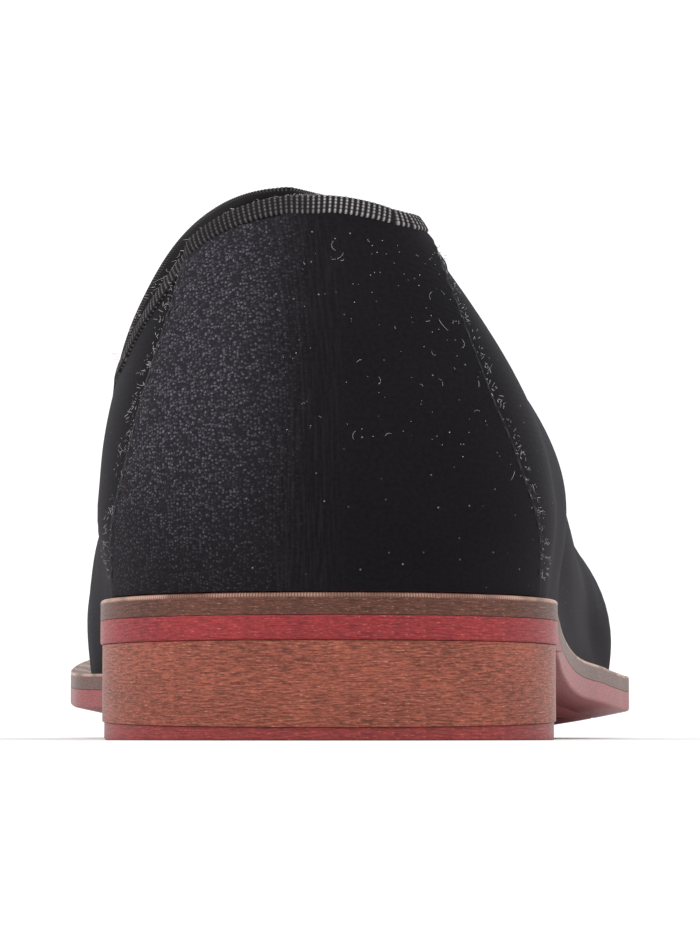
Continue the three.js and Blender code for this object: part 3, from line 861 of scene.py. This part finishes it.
def wall_sheet(rim, collar, vamp, tuck, flank):
    """Both sides of the last from the welt to a rim, and over the vamp to the toe."""
    places = eased(collar, 0, rim.closes_at) + eased(vamp, rim.closes_at, 1)[1:]
    sheet = Sheet()
    marks = []
    for side in (LATERAL, MEDIAL):
        levels = {along: levels_up_to(rim.level(side, along), tuck, flank) for along in places}
        points = [[last_point(side, along, level) for level in levels[along]] for along in places]
        runs = lengths_along([column[tuck] for column in points])
        uvs = [[(side * run, rise) for rise in lengths_along(column)] for run, column in zip(runs, points)]
        sheet.grid(points, uvs, flip=side == MEDIAL)
        marks.extend((side, point[1], point[2]) for column in points for point in column)
    return sheet, marks


def foot_points(sheet):
    """Points on the welt, which keep their height when the wall gets its thickness."""
    return np.array([point[2] < welt_top(point[0], point[1]) + 1.5 * GAP for point in sheet.points])


def make_upper(velvet):
    sheet, marks = wall_sheet(VELVET_RIM, collar=84, vamp=66, tuck=6, flank=40)
    creases = placed_creases()
    outer = [-crease_depth(side, y, z, creases) for side, y, z in marks]
    shell = sheet.shell(outer, [VELVET_BACK] * len(outer), foot_points(sheet))
    return piece("upper_velvet", shell, velvet_material("velvet", velvet, False), ["upper"])


def make_lining(leather):
    sheet, marks = wall_sheet(LINING_RIM, collar=60, vamp=44, tuck=4, flank=26)
    count = len(marks)
    shell = sheet.shell([-VELVET_BACK - JOINT] * count, [LINING_FACE] * count, foot_points(sheet))
    finish = leather_material("lining_leather", leather.lining_colour)
    return piece("lining", shell, finish)


def seam_place(side, level_at):
    """Place along the last where a side of it lies as far out as the panel's seam."""
    near, far = 0.0, 0.3
    for _ in range(36):
        middle = (near + far) / 2
        x, _, z = last_point(side, middle, level_at(side, middle))
        if side * x >= SEAMS[side](clamp((z - SEAT) / BACK_HEIGHT)):
            far = middle
        else:
            near = middle
    return near


@lru_cache(maxsize=None)
def whole_seam(side, row):
    return seam_place(side, lambda s, along: panel_level(s, along, row))


def panel_seam(side, row):
    """Place along the last of the panel's seam at a row, also between two whole rows."""
    below = min(int(row), PANEL_ROWS - 1)
    return mix(whole_seam(side, below), whole_seam(side, below + 1), row - below)


def panel_level(side, along, row):
    """Level of a row of the panel, which may lie between two whole rows."""
    if row <= PANEL_TUCK:
        return row / PANEL_TUCK
    return mix(1, PANEL_RIM.level(side, along), (row - PANEL_TUCK) / PANEL_FLANK)


def panel_point(across, row):
    """Point of the last under the panel: across runs from the medial seam (-1) to the lateral (1)."""
    side = LATERAL if across >= 0 else MEDIAL
    along = panel_seam(side, row) * abs(across) ** HEEL_FULLNESS
    return last_point(side, along, panel_level(side, along, row))


def panel_normal(across, row):
    nudge = 0.01
    run = panel_point(across + nudge, row) - panel_point(across - nudge, row)
    rise = panel_point(across, row + nudge) - panel_point(across, row - nudge)
    return unit(np.cross(run, rise))


def make_back_panel(velvet):
    edge = [1 - 0.03 * (1 - i / 8) ** 2 for i in range(9)]
    inner = [0.97 * i / 44 for i in range(44)]
    half = inner + edge
    shares = [-share for share in half[:0:-1]] + half
    sheet = Sheet()
    rows = [[panel_point(share, row) for share in shares] for row in range(PANEL_ROWS + 1)]
    middle = len(half) - 1
    columns = list(zip(*rows))
    rises = [lengths_along(column) for column in columns]
    uvs, outer = [], []
    top = PANEL_FACE
    for i, row in enumerate(rows):
        runs = lengths_along(row)
        uvs.append([(run - runs[middle], rises[j][i]) for j, run in enumerate(runs)])
        for run in runs:
            inside = min(run, runs[-1] - run) / top
            outer.append(0.05 + (top - 0.05) * math.sqrt(1 - (1 - clamp(inside)) ** 2))
    sheet.grid(rows, uvs, flip=True)
    under = [0.1] * len(outer)
    shell = sheet.shell(outer, under, foot_points(sheet))
    finish = velvet_material("panel_velvet", velvet, True)
    return piece("back_panel_velvet", shell, finish, ["back_panel"], sharp=70)


def rim_point(place, level):
    """Point of the last round the collar: the place runs from the throat (-1) down the medial side,
    round the heel (0) and up the lateral side (1)."""
    side = LATERAL if place >= 0 else MEDIAL
    return last_point(side, RIBBON_TOP.closes_at * abs(place) ** HEEL_FULLNESS, level)


def rim_level(place):
    side = LATERAL if place >= 0 else MEDIAL
    return RIBBON_TOP.level(side, RIBBON_TOP.closes_at * abs(place) ** HEEL_FULLNESS)


def even_rim(spacing):
    """Places and levels along the topline with even spacing."""
    shares = [math.copysign(1 - (1 - abs(i) / 900) ** 2, i) for i in range(-900, 901)]
    levels = [rim_level(share) for share in shares]
    lengths = lengths_along([rim_point(share, level) for share, level in zip(shares, levels)])
    count = round(lengths[-1] / spacing)
    at = np.linspace(0, lengths[-1], count + 1)
    return at, np.interp(at, lengths, shares), np.interp(at, lengths, levels)


def make_ribbon(trim):
    steps = 5
    pitch = trim.rib_pitch / MM
    at, places, levels = even_rim(pitch / steps)
    path = [rim_point(place, level) for place, level in zip(places, levels)]
    last = len(path) - 1
    seam = {side: (panel_seam(side, PANEL_ROWS) / RIBBON_TOP.closes_at) ** (1 / HEEL_FULLNESS)
            for side in (LATERAL, MEDIAL)}
    points, uvs = [], []
    nudge = 1e-3
    for i, (place, level) in enumerate(zip(places, levels)):
        place = clamp(place, -1 + nudge, 1 - nudge)
        run = (rim_point(place + nudge, level) - rim_point(place - nudge, level)) / (2 * nudge)
        rise = (rim_point(place, level + nudge) - rim_point(place, level - nudge)) / (2 * nudge)
        out = unit(np.cross(run, rise))
        ahead = unit(path[min(i + 1, last)] - path[max(i - 1, 0)])
        up = unit(np.cross(out, ahead))
        basis = np.array((run, rise)).T
        side = LATERAL if place >= 0 else MEDIAL
        over = 1 - smooth(seam[side] * 0.96, seam[side] * 1.06, abs(place))
        proud = mix(RIBBON_PROUD, RIBBON_OVER_PANEL, over)
        rib = RIB_HEIGHT * abs(math.sin(math.pi * at[i] / pitch)) ** 0.8
        column, uv_column = [], []
        for down, stands in ribbon_profile(proud, rib):
            shift = np.linalg.lstsq(basis, -down * up, rcond=None)[0]
            base = rim_point(place + shift[0], level + shift[1]) if down > 0 else path[i] - down * up
            column.append(base + stands * out)
            uv_column.append((at[i], down + stands))
        points.append(column)
        uvs.append(uv_column)
    sheet = Sheet()
    sheet.grid(points, uvs, flip=True)
    sheet.faces.append(tuple(range(len(points[0]))))
    start = last * len(points[0])
    sheet.faces.append(tuple(range(start + len(points[0]) - 1, start - 1, -1)))
    finish = ribbon_material("grosgrain", trim)
    return piece("collar_ribbon", sheet, finish, ["collar_binding"], sharp=60)


def ribbon_profile(proud, rib):
    """Section of the ribbon, from its outer lower edge over the rim to its inner lower edge and back:
    how far down from the topline, and how far out from the velvet's face."""
    inside = -(LINING_FACE + 0.15)
    middle, half = (proud + inside) / 2, (proud - inside) / 2
    turn = [(0.4 - 0.55 * math.sin(angle), middle + (half + rib) * math.cos(angle))
            for angle in (math.radians(15 + 150 * k / 8) for k in range(9))]
    outside = [(RIBBON_WIDTH, proud * 0.55), (RIBBON_WIDTH - 0.08, proud * 0.9 + rib),
               (RIBBON_WIDTH - 0.3, proud + rib), (1.7, proud + 0.06 + rib), (0.8, proud + 0.04 + rib)]
    back = [(0.5, inside - rib), (RIBBON_INSIDE - 0.1, inside - rib), (RIBBON_INSIDE, inside + 0.12)]
    core = [(0.6, inside + 0.2), (0.5, middle), (0.9, -0.1), (2, -0.1), (RIBBON_WIDTH, 0.02)]
    profile = outside + turn + back + core
    return profile + profile[:1]


def seam_frame(side, row, inset=0.0):
    """Point of the last at the panel's seam, drawn in by a share, and its normal there."""
    across = side * (1 - inset)
    return panel_point(across, row), panel_normal(across, row)


def stitch_path(side, row_at, start, pitch):
    """One stitch along a seam, bowed a little off the panel."""
    path = []
    for j in range(5):
        row = row_at(start + (0.14 + 0.72 * j / 4) * pitch)
        point, normal = seam_frame(side, row, STITCH_INSET)
        path.append(point + normal * (PANEL_FACE - 0.06 + 0.14 * math.sin(math.pi * j / 4)))
    return path


def fleck_path(side, row, chance):
    """One loose fibre beside a seam."""
    point, normal = seam_frame(side, row, chance.uniform(-0.05, 0.05))
    ahead = unit(seam_frame(side, row + 0.2)[0] - seam_frame(side, row - 0.2)[0])
    away = np.cross(normal, ahead) * chance.uniform(-1, 1)
    drift = ahead * chance.uniform(-1, 1) + away + normal * chance.uniform(0.1, 0.6)
    length = chance.uniform(0.15, 0.8)
    bend = unit(np.cross(drift, normal)) * chance.uniform(-0.25, 0.25)
    start = point + normal * chance.uniform(0.6, PANEL_FACE + 0.15)
    return [start + unit(drift) * length * t + bend * length * t * t for t in (0, 0.35, 0.7, 1)]


def make_seams(trim):
    """Stitches along both seams of the back panel, with a cluster of loose fibres at each."""
    stitches, fuzz = Sheet(), Sheet()
    chance = random.Random(11)
    pitch = trim.stitch_pitch / MM
    for side in (LATERAL, MEDIAL):
        rows = np.linspace(1, PANEL_ROWS - 1, 260)
        lengths = lengths_along([seam_frame(side, row, STITCH_INSET)[0] for row in rows])

        def row_at(at):
            return float(np.interp(at, lengths, rows))

        for k in range(int(lengths[-1] / pitch)):
            stitches.tube(stitch_path(side, row_at, k * pitch, pitch), 0.14, 5)
            for _ in range(chance.randint(6, 24)):
                row = row_at((k + chance.gauss(0.5, 0.22)) * pitch)
                fuzz.tube(fleck_path(side, row, chance), chance.uniform(0.02, 0.055), 3)
    thread = thread_material("stitch_thread", trim.ribbon_colour)
    fibre = thread_material("pile_fibre", trim.fibre_colour, 0.2)
    piece("panel_stitches", stitches, thread)
    piece("seam_fuzz", fuzz, fibre)


def make_lint(trim):
    """Specks and short curled hairs that cling to the back panel."""
    lint = Sheet()
    chance = random.Random(23)
    top = PANEL_FACE + 0.04
    for number in range(trim.lint_count):
        is_hair = number % 4 == 0
        across = chance.uniform(-0.2, 0.93)
        row = chance.uniform(8, PANEL_ROWS - 6)
        point, normal = panel_point(across, row), panel_normal(across, row)
        angle = chance.uniform(0, 2 * math.pi)
        sideways = unit(np.cross(normal, (0, 0, 1)))
        upward = np.cross(sideways, normal)
        length = chance.uniform(0.5, 2.4) if is_hair else chance.uniform(0.06, 0.2)
        curl = chance.uniform(-3.4, 3.4)
        steps = 7 if is_hair else 3
        place = point + normal * top
        path = []
        for step in range(steps):
            turn = angle + curl * step / steps
            path.append(place)
            place = place + (length / steps) * (math.cos(turn) * sideways + math.sin(turn) * upward
                                                + 0.12 * math.sin(3 * turn) * normal)
        lint.tube(path, chance.uniform(0.012, 0.02) if is_hair else chance.uniform(0.04, 0.1), 4)
    finish = thread_material("lint", trim.lint_colour, 0.3)
    return piece("lint", lint, finish)


def make_fray(trim):
    """Pale fibres that stand out of the ribbon's upper edge, thick in a tuft near the middle of the
    back, and a few long ones on the inner side."""
    fray = Sheet()
    chance = random.Random(31)
    for number in range(trim.fray_count):
        is_tuft = number % 4 == 0
        is_long = number % 29 == 1
        place = chance.gauss(-0.03, 0.02) if is_tuft else chance.uniform(-0.5, 0.16)
        if is_long:
            place = chance.uniform(-0.48, -0.3)
        level = rim_level(place)
        base = rim_point(place, level)
        ahead = unit(rim_point(place + 0.01, level) - rim_point(place - 0.01, level))
        out = np.cross(ahead, (0, 0, 1))
        base = base + out * chance.uniform(-0.5, 1.2) + np.array((0, 0, chance.uniform(0.2, 0.4)))
        length = chance.uniform(2, 4.5) if is_long else chance.uniform(0.2, 1.1)
        drift = unit(ahead * chance.choice((-1, 1)) + out * chance.uniform(-0.2, 0.5)
                     + np.array((0, 0, chance.uniform(-0.1, 0.5))))
        bend = chance.uniform(-0.4, 0.4) * out + chance.uniform(-0.3, 0.3) * np.array((0, 0, 1))
        path = [base + length * (t * drift + t * t * bend) for t in np.linspace(0, 1, 6)]
        fray.tube(path, chance.uniform(0.012, 0.02) if is_long else chance.uniform(0.012, 0.04), 3)
    finish = thread_material("fray", trim.lint_colour, 0.3)
    return piece("ribbon_fray", fray, finish)


def sole_side(side, places):
    """One side of the sole's outline at places along it."""
    return [(outline_x(SOLE, side, along, 0), along * SOLE_LENGTH) for along in places]


def sole_ring(count):
    """Outline of the whole sole, evenly spaced, from the back round the lateral side to the toe and
    down the medial side."""
    halves = []
    for side in (LATERAL, MEDIAL):
        halves.append(evenly(sole_side(side, eased(900, 0, 1)), count // 2))
    return np.array([*halves[0], *halves[1][-2:0:-1]])


def heel_ring(count, breast):
    """Outline of the heel: round the back, along both sides, and over the bowed breast."""
    places = eased(500, 0, HEEL_LENGTH / SOLE_LENGTH)
    sides = {side: evenly(sole_side(side, places), count) for side in (LATERAL, MEDIAL)}
    right, left = sides[LATERAL][-1][0], sides[MEDIAL][-1][0]
    front = []
    for i in range(1, 2 * breast):
        across = 1 - i / (2 * breast)
        front.append((mix(left, right, across), HEEL_LENGTH - BREAST_CURVE * 4 * across * (1 - across)))
    return np.array([*sides[LATERAL], *front, *sides[MEDIAL][:0:-1]])


def evenly(line, count):
    """The same line with evenly spaced points."""
    line = np.array(line)
    lengths = lengths_along(line)
    at = np.linspace(0, lengths[-1], count + 1)
    return np.stack([np.interp(at, lengths, line[:, axis]) for axis in (0, 1)], axis=1)


def drawn_in(ring, inset):
    """A ring of points moved inwards, square to itself."""
    before = ring - np.roll(ring, 1, axis=0)
    after = np.roll(ring, -1, axis=0) - ring
    turned = [np.stack([-step[:, 1], step[:, 0]], axis=1) / np.linalg.norm(step, axis=1, keepdims=True)
              for step in (before, after)]
    total = turned[0] + turned[1]
    normal = total / np.linalg.norm(total, axis=1, keepdims=True)
    lean = np.clip((normal * turned[0]).sum(axis=1, keepdims=True), 0.6, 1)
    return ring + normal * inset / lean


def plate(ring, bottom, top, edge, under, over):
    """Solid with a shaped edge: rings of points at insets from the outline, at shares of the thickness
    with a lift in millimetres, and a top and bottom filled across. Under and over list the insets and
    lifts of further rings."""
    sheet = Sheet()
    count = len(ring)
    columns = 12
    runs = lengths_along([*ring, ring[0]])
    rings = [(inset, 0, lift) for inset, lift in under[::-1]] + edge
    rings += [(inset, 1, lift) for inset, lift in over]
    points, uvs = [], []
    for inset, share, lift in rings:
        line = drawn_in(ring, inset)
        row = [np.array((x, y, mix(bottom(x, y), top(x, y), share) + lift)) for x, y in line]
        thickness = [top(x, y) - bottom(x, y) for x, y in line]
        height = [thick * share + lift for thick in thickness]
        offset = -inset if share == 0 else inset if share == 1 else 0
        points.append([*row, row[0]])
        uvs.append([(run, rise + offset) for run, rise in zip(runs, [*height, height[0]])])
    sheet.grid(points, uvs, flip=True)
    for row, uv_row, height, lift, flip in ((points[0], uvs[0], bottom, rings[0][2], False),
                                            (points[-1], uvs[-1], top, rings[-1][2], True)):
        fill, fill_uvs = [], []
        for i in range(count // 2 + 1):
            right, left = row[i], row[-1 - i] if i else row[0]
            line = []
            for column in range(columns + 1):
                x, y = mix(right[:2], left[:2], column / columns)
                line.append(np.array((x, y, height(x, y) + lift)))
            line[0], line[-1] = right, left
            fill.append(line)
            fill_uvs.append([(uv_row[i][0], uv_row[i][1] + k) for k in range(columns + 1)])
        sheet.grid(fill, fill_uvs, flip=flip)
    return sheet


def rounded(radius_low, radius_high):
    """Edge of a plate with a round at its lower and upper corner."""
    angles = [math.radians(90 * k / 5) for k in range(6)]
    low = [(radius_low * (1 - math.sin(a)), 0, radius_low * (1 - math.cos(a))) for a in angles]
    high = [(radius_high * (1 - math.cos(a)), 1, -radius_high * (1 - math.sin(a))) for a in angles]
    return low + [(0, 0.5, 0)] + high


def make_sole(leather):
    ring = sole_ring(720)
    channel = [(6.2, 0), (6.5, 0.22), (6.9, 0.22), (7.2, 0), (10, 0)]
    outsole = plate(ring, outsole_bottom, lambda x, y: welt_bottom(x, y) - JOINT,
                    rounded(0.45, 0.08), [(2, 0), *channel], [(4, 0), (10, 0)])
    finish = edge_material("sole_edge", leather.sole_colour, leather, 0.45, gloss=0.62)
    piece("outsole_leather", outsole, finish, ["outsole"], sharp=60)
    welt = plate(ring, welt_bottom, welt_top, rounded(0.08, 0.4), [(4, 0), (10, 0)],
                 [(0.9, -0.1), (1.2, 0), (4, 0), (10, 0)])
    finish = edge_material("welt_edge", leather.welt_colour, leather, 0.5, wheel=0.42, gloss=0.55)
    piece("welt_leather_plate", welt, finish, ["welt"], sharp=60)
    inside = np.array([drawn_in(ring, LEDGES(clamp(y / SOLE_LENGTH)) + WALL + 2 * GAP)[i]
                       for i, (x, y) in enumerate(ring)])
    sock = plate(inside, lambda x, y: welt_top(x, y) + JOINT, insole_top, rounded(0.1, 0.7),
                 [(4, 0), (10, 0)], [(1.5, 0), (4, 0), (10, 0)])
    finish = leather_material("sock_leather", leather.lining_colour, 1.0, 0.55)
    piece("insole_sock", sock, finish, ["insole"], sharp=60)


def make_heel(leather):
    ring = heel_ring(110, 40)
    block = plate(drawn_in(ring, GAP), lambda x, y: top_piece_top(x, y) + JOINT,
                  lambda x, y: sole_bottom(x, y) - JOINT, rounded(0.08, 0.08), [(3, 0), (8, 0)],
                  [(3, 0), (8, 0)])
    finish = edge_material("heel_edge", leather.heel_colour, leather, 0.6, gloss=0.5, layers=4.1)
    piece("heel_stack", block, finish, ["heel_block"], sharp=60)
    lift = plate(drawn_in(ring, HEEL_TAPER), lambda x, y: 0, top_piece_top, rounded(0.35, 0.06),
                 [(3, 0), (8, 0)], [(3, 0), (8, 0)])
    finish = edge_material("top_piece_edge", leather.top_colour, leather, 0.4, gloss=0.55)
    piece("top_lift", lift, finish, ["top_piece"], sharp=60)


def colour(name, description, default):
    return bpy.props.FloatVectorProperty(name=name, description=description, subtype="COLOR", size=3,
                                         min=0, max=1, default=default)


def length(name, description, default):
    return bpy.props.FloatProperty(name=name, description=description, unit="LENGTH", min=0.0001,
                                   max=0.1, precision=5, default=default)


class LoaferVelvet(bpy.types.PropertyGroup):
    """Pile of the upper and the back panel."""

    pile_colour: colour("Pile", "Colour of the velvet", (0.0078, 0.007, 0.0083))
    # Also the colour of the painted sheen on the panel's dots and veil, and of pale specks and streaks
    dot_colour: colour("Dots", "Colour of the woven dots where they catch light", (0.15, 0.135, 0.165))
    dot_pitch: length("Dot pitch", "Distance between two dots of the back panel", 0.0005)
    row_pitch: length("Row pitch", "Distance between two rows of pile", 0.0009)
    sheen: bpy.props.FloatProperty(name="Sheen", description="Light that the pile throws back at its edges",
                                   subtype="FACTOR", min=0, max=1, default=0.065)


class LoaferLeather(bpy.types.PropertyGroup):
    """Sole, heel and lining."""

    welt_colour: colour("Welt", "Colour of the welt's edge", (0.094, 0.033, 0.021))
    sole_colour: colour("Outsole", "Colour of the outsole", (0.235, 0.022, 0.025))
    heel_colour: colour("Heel", "Colour of the heel's layers", (0.225, 0.06, 0.037))
    top_colour: colour("Top piece", "Colour of the heel's wear layer", (0.225, 0.034, 0.032))
    lining_colour: colour("Lining", "Colour of the lining and the insole", (0.23, 0.05, 0.052))
    # Also the colour of the painted highlight on the welt's wheel marks
    rubbed_colour: colour("Rubbed", "Colour where the dye has worn off", (0.5, 0.31, 0.24))


class LoaferTrim(bpy.types.PropertyGroup):
    """Ribbon, stitches and loose fibres."""

    ribbon_colour: colour("Ribbon", "Colour of the ribbon and the thread", (0.026, 0.024, 0.025))
    fibre_colour: colour("Fibres", "Colour of the fibres along the seams", (0.34, 0.32, 0.34))
    lint_colour: colour("Lint", "Colour of the lint on the back", (0.5, 0.48, 0.5))
    rib_pitch: length("Rib pitch", "Distance between two ribs of the ribbon", 0.00074)
    stitch_pitch: length("Stitch pitch", "Distance between two stitches", 0.0024)
    lint_count: bpy.props.IntProperty(name="Lint", description="Number of specks and hairs", min=0,
                                      max=400, default=110)
    fray_count: bpy.props.IntProperty(name="Fray", description="Number of fibres on the ribbon's edge",
                                      min=0, max=800, default=260)


class LoaferStage(bpy.types.PropertyGroup):
    """Floor, light and camera."""

    floor_colour: colour("Floor", "Colour of the floor", (0.9, 0.9, 0.9))
    world_strength: bpy.props.FloatProperty(name="Surroundings", description="Light from all around",
                                            min=0, max=5, default=1.12)
    light_power: bpy.props.FloatProperty(name="Lights", description="Power of each soft light",
                                         subtype="POWER", min=0, max=100, default=2.2)
    camera_distance: bpy.props.FloatProperty(name="Camera distance", unit="LENGTH", min=0.1, max=5,
                                             description="From the camera to the back of the sole",
                                             default=0.485)


class LOAFER_OT_make_upper(bpy.types.Operator):
    """Velvet upper with its creases"""

    bl_idname = "loafer.make_upper"
    bl_label = "Upper"

    def execute(self, context):
        make_upper(context.scene.loafer_velvet)
        return {"FINISHED"}


class LOAFER_OT_make_lining(bpy.types.Operator):
    """Leather lining inside the upper"""

    bl_idname = "loafer.make_lining"
    bl_label = "Lining"

    def execute(self, context):
        make_lining(context.scene.loafer_leather)
        return {"FINISHED"}


class LOAFER_OT_make_back_panel(bpy.types.Operator):
    """Velvet panel round the back of the heel"""

    bl_idname = "loafer.make_back_panel"
    bl_label = "Back panel"

    def execute(self, context):
        make_back_panel(context.scene.loafer_velvet)
        return {"FINISHED"}


class LOAFER_OT_make_ribbon(bpy.types.Operator):
    """Ribbed ribbon folded over the topline"""

    bl_idname = "loafer.make_ribbon"
    bl_label = "Collar ribbon"

    def execute(self, context):
        make_ribbon(context.scene.loafer_trim)
        return {"FINISHED"}


class LOAFER_OT_make_seams(bpy.types.Operator):
    """Stitches and loose fibres along the panel's seams"""

    bl_idname = "loafer.make_seams"
    bl_label = "Seams"

    def execute(self, context):
        make_seams(context.scene.loafer_trim)
        return {"FINISHED"}


class LOAFER_OT_make_lint(bpy.types.Operator):
    """Specks and hairs on the back panel"""

    bl_idname = "loafer.make_lint"
    bl_label = "Lint"

    def execute(self, context):
        make_lint(context.scene.loafer_trim)
        return {"FINISHED"}


class LOAFER_OT_make_fray(bpy.types.Operator):
    """Loose fibres on the ribbon's edge"""

    bl_idname = "loafer.make_fray"
    bl_label = "Fray"

    def execute(self, context):
        make_fray(context.scene.loafer_trim)
        return {"FINISHED"}


class LOAFER_OT_make_sole(bpy.types.Operator):
    """Outsole, welt and insole"""

    bl_idname = "loafer.make_sole"
    bl_label = "Sole"

    def execute(self, context):
        make_sole(context.scene.loafer_leather)
        return {"FINISHED"}


class LOAFER_OT_make_heel(bpy.types.Operator):
    """Stacked heel and its wear layer"""

    bl_idname = "loafer.make_heel"
    bl_label = "Heel"

    def execute(self, context):
        make_heel(context.scene.loafer_leather)
        return {"FINISHED"}


FOCAL_LENGTH = 137.4
CAMERA_RIGHT = 0.003
CAMERA_HEIGHT = 0.0012
CAMERA_TILT = 4.26

LIGHTS = table(
    "name place size share",
    ("left_light", (-0.75, -0.35, 0.55), 0.6, 1.0),
    ("right_light", (0.8, -0.1, 0.6), 0.7, 0.7),
    ("back_light", (0.0, -0.7, 0.95), 0.8, 0.7),
    ("front_light", (0.1, 0.9, 0.9), 0.9, 0.3),
)


def link(name, data):
    """Object for a light, a camera or a floor, in place of an older one."""
    old = bpy.data.objects.get(name)
    if old is not None:
        bpy.data.objects.remove(old)
    made = bpy.data.objects.new(name, data)
    bpy.context.scene.collection.objects.link(made)
    return made


def aim(thing, place, target):
    """Places a light so that it looks at a target."""
    line = np.array(target) - np.array(place)
    thing.location = place
    flat = math.hypot(line[0], line[1])
    thing.rotation_euler = (math.atan2(flat, -line[2]), 0, math.atan2(-line[0], line[1]))


class LOAFER_OT_make_stage(bpy.types.Operator):
    """Plain floor, soft light and the camera behind the shoe"""

    bl_idname = "loafer.make_stage"
    bl_label = "Stage"

    def execute(self, context):
        look = context.scene.loafer_stage
        reach = 3.0
        mesh = bpy.data.meshes.new("floor")
        mesh.from_pydata([(-reach, -reach, 0), (reach, -reach, 0), (reach, reach, 0), (-reach, reach, 0)],
                         [], [(0, 1, 2, 3)])
        floor = link("floor", mesh)
        material, start = new_material("floor")
        grain = start.node("TexCoord", output="Object").noise(180, 2)
        surface(start, {
            "Base Color": grain.blend(rgba(look.floor_colour, 0.99), rgba(look.floor_colour)),
            "Roughness": 0.9,
            "Specular IOR Level": 0.1,
        })
        mesh.materials.append(material)
        for row in LIGHTS:
            light = bpy.data.lights.new(row.name, "AREA")
            light.shape = "DISK"
            light.size = row.size
            light.energy = look.light_power * row.share
            aim(link(row.name, light), row.place, (0, 0.02, 0.04))
        world = bpy.data.worlds.get("studio") or bpy.data.worlds.new("studio")
        context.scene.world = world
        world.use_nodes = True
        background = world.node_tree.nodes["Background"]
        background.inputs["Color"].default_value = (1, 1, 1, 1)
        background.inputs["Strength"].default_value = look.world_strength
        data = bpy.data.cameras.new("camera")
        data.sensor_width = 36
        data.lens = FOCAL_LENGTH
        data.clip_start = 0.01
        camera = link("camera", data)
        camera.location = (CAMERA_RIGHT, -look.camera_distance - HEEL_LENGTH / 2 * MM, CAMERA_HEIGHT)
        camera.rotation_euler = (math.radians(90 + CAMERA_TILT), 0, 0)
        context.scene.camera = camera
        context.scene.view_settings.view_transform = "Standard"
        return {"FINISHED"}


PIECES = (
    LOAFER_OT_make_upper, LOAFER_OT_make_lining, LOAFER_OT_make_back_panel, LOAFER_OT_make_ribbon,
    LOAFER_OT_make_seams, LOAFER_OT_make_lint, LOAFER_OT_make_fray, LOAFER_OT_make_sole,
    LOAFER_OT_make_heel, LOAFER_OT_make_stage,
)
LOOKS = {
    "loafer_velvet": LoaferVelvet,
    "loafer_leather": LoaferLeather,
    "loafer_trim": LoaferTrim,
    "loafer_stage": LoaferStage,
}


class LOAFER_PT_pieces(bpy.types.Panel):
    """Lists the pieces of the loafer and their sizes and colours"""

    bl_idname = "LOAFER_PT_pieces"
    bl_label = "Velvet loafer"
    bl_space_type = "VIEW_3D"
    bl_region_type = "UI"
    bl_category = "Loafer"

    def draw(self, context):
        for name, look in LOOKS.items():
            box = self.layout.box()
            for field in look.__annotations__:
                box.prop(getattr(context.scene, name), field)
        for operator in PIECES:
            self.layout.operator(operator.bl_idname)


def register():
    for kind in (*LOOKS.values(), *PIECES, LOAFER_PT_pieces):
        bpy.utils.register_class(kind)
    for name, look in LOOKS.items():
        setattr(bpy.types.Scene, name, bpy.props.PointerProperty(type=look))


def unregister():
    for name in LOOKS:
        delattr(bpy.types.Scene, name)
    for kind in reversed((*LOOKS.values(), *PIECES, LOAFER_PT_pieces)):
        bpy.utils.unregister_class(kind)


def main():
    """Makes all the pieces in order."""
    register()
    for operator in PIECES:
        name = operator.bl_idname.split(".")[1]
        getattr(bpy.ops.loafer, name)()


if __name__ == "__main__":
    main()
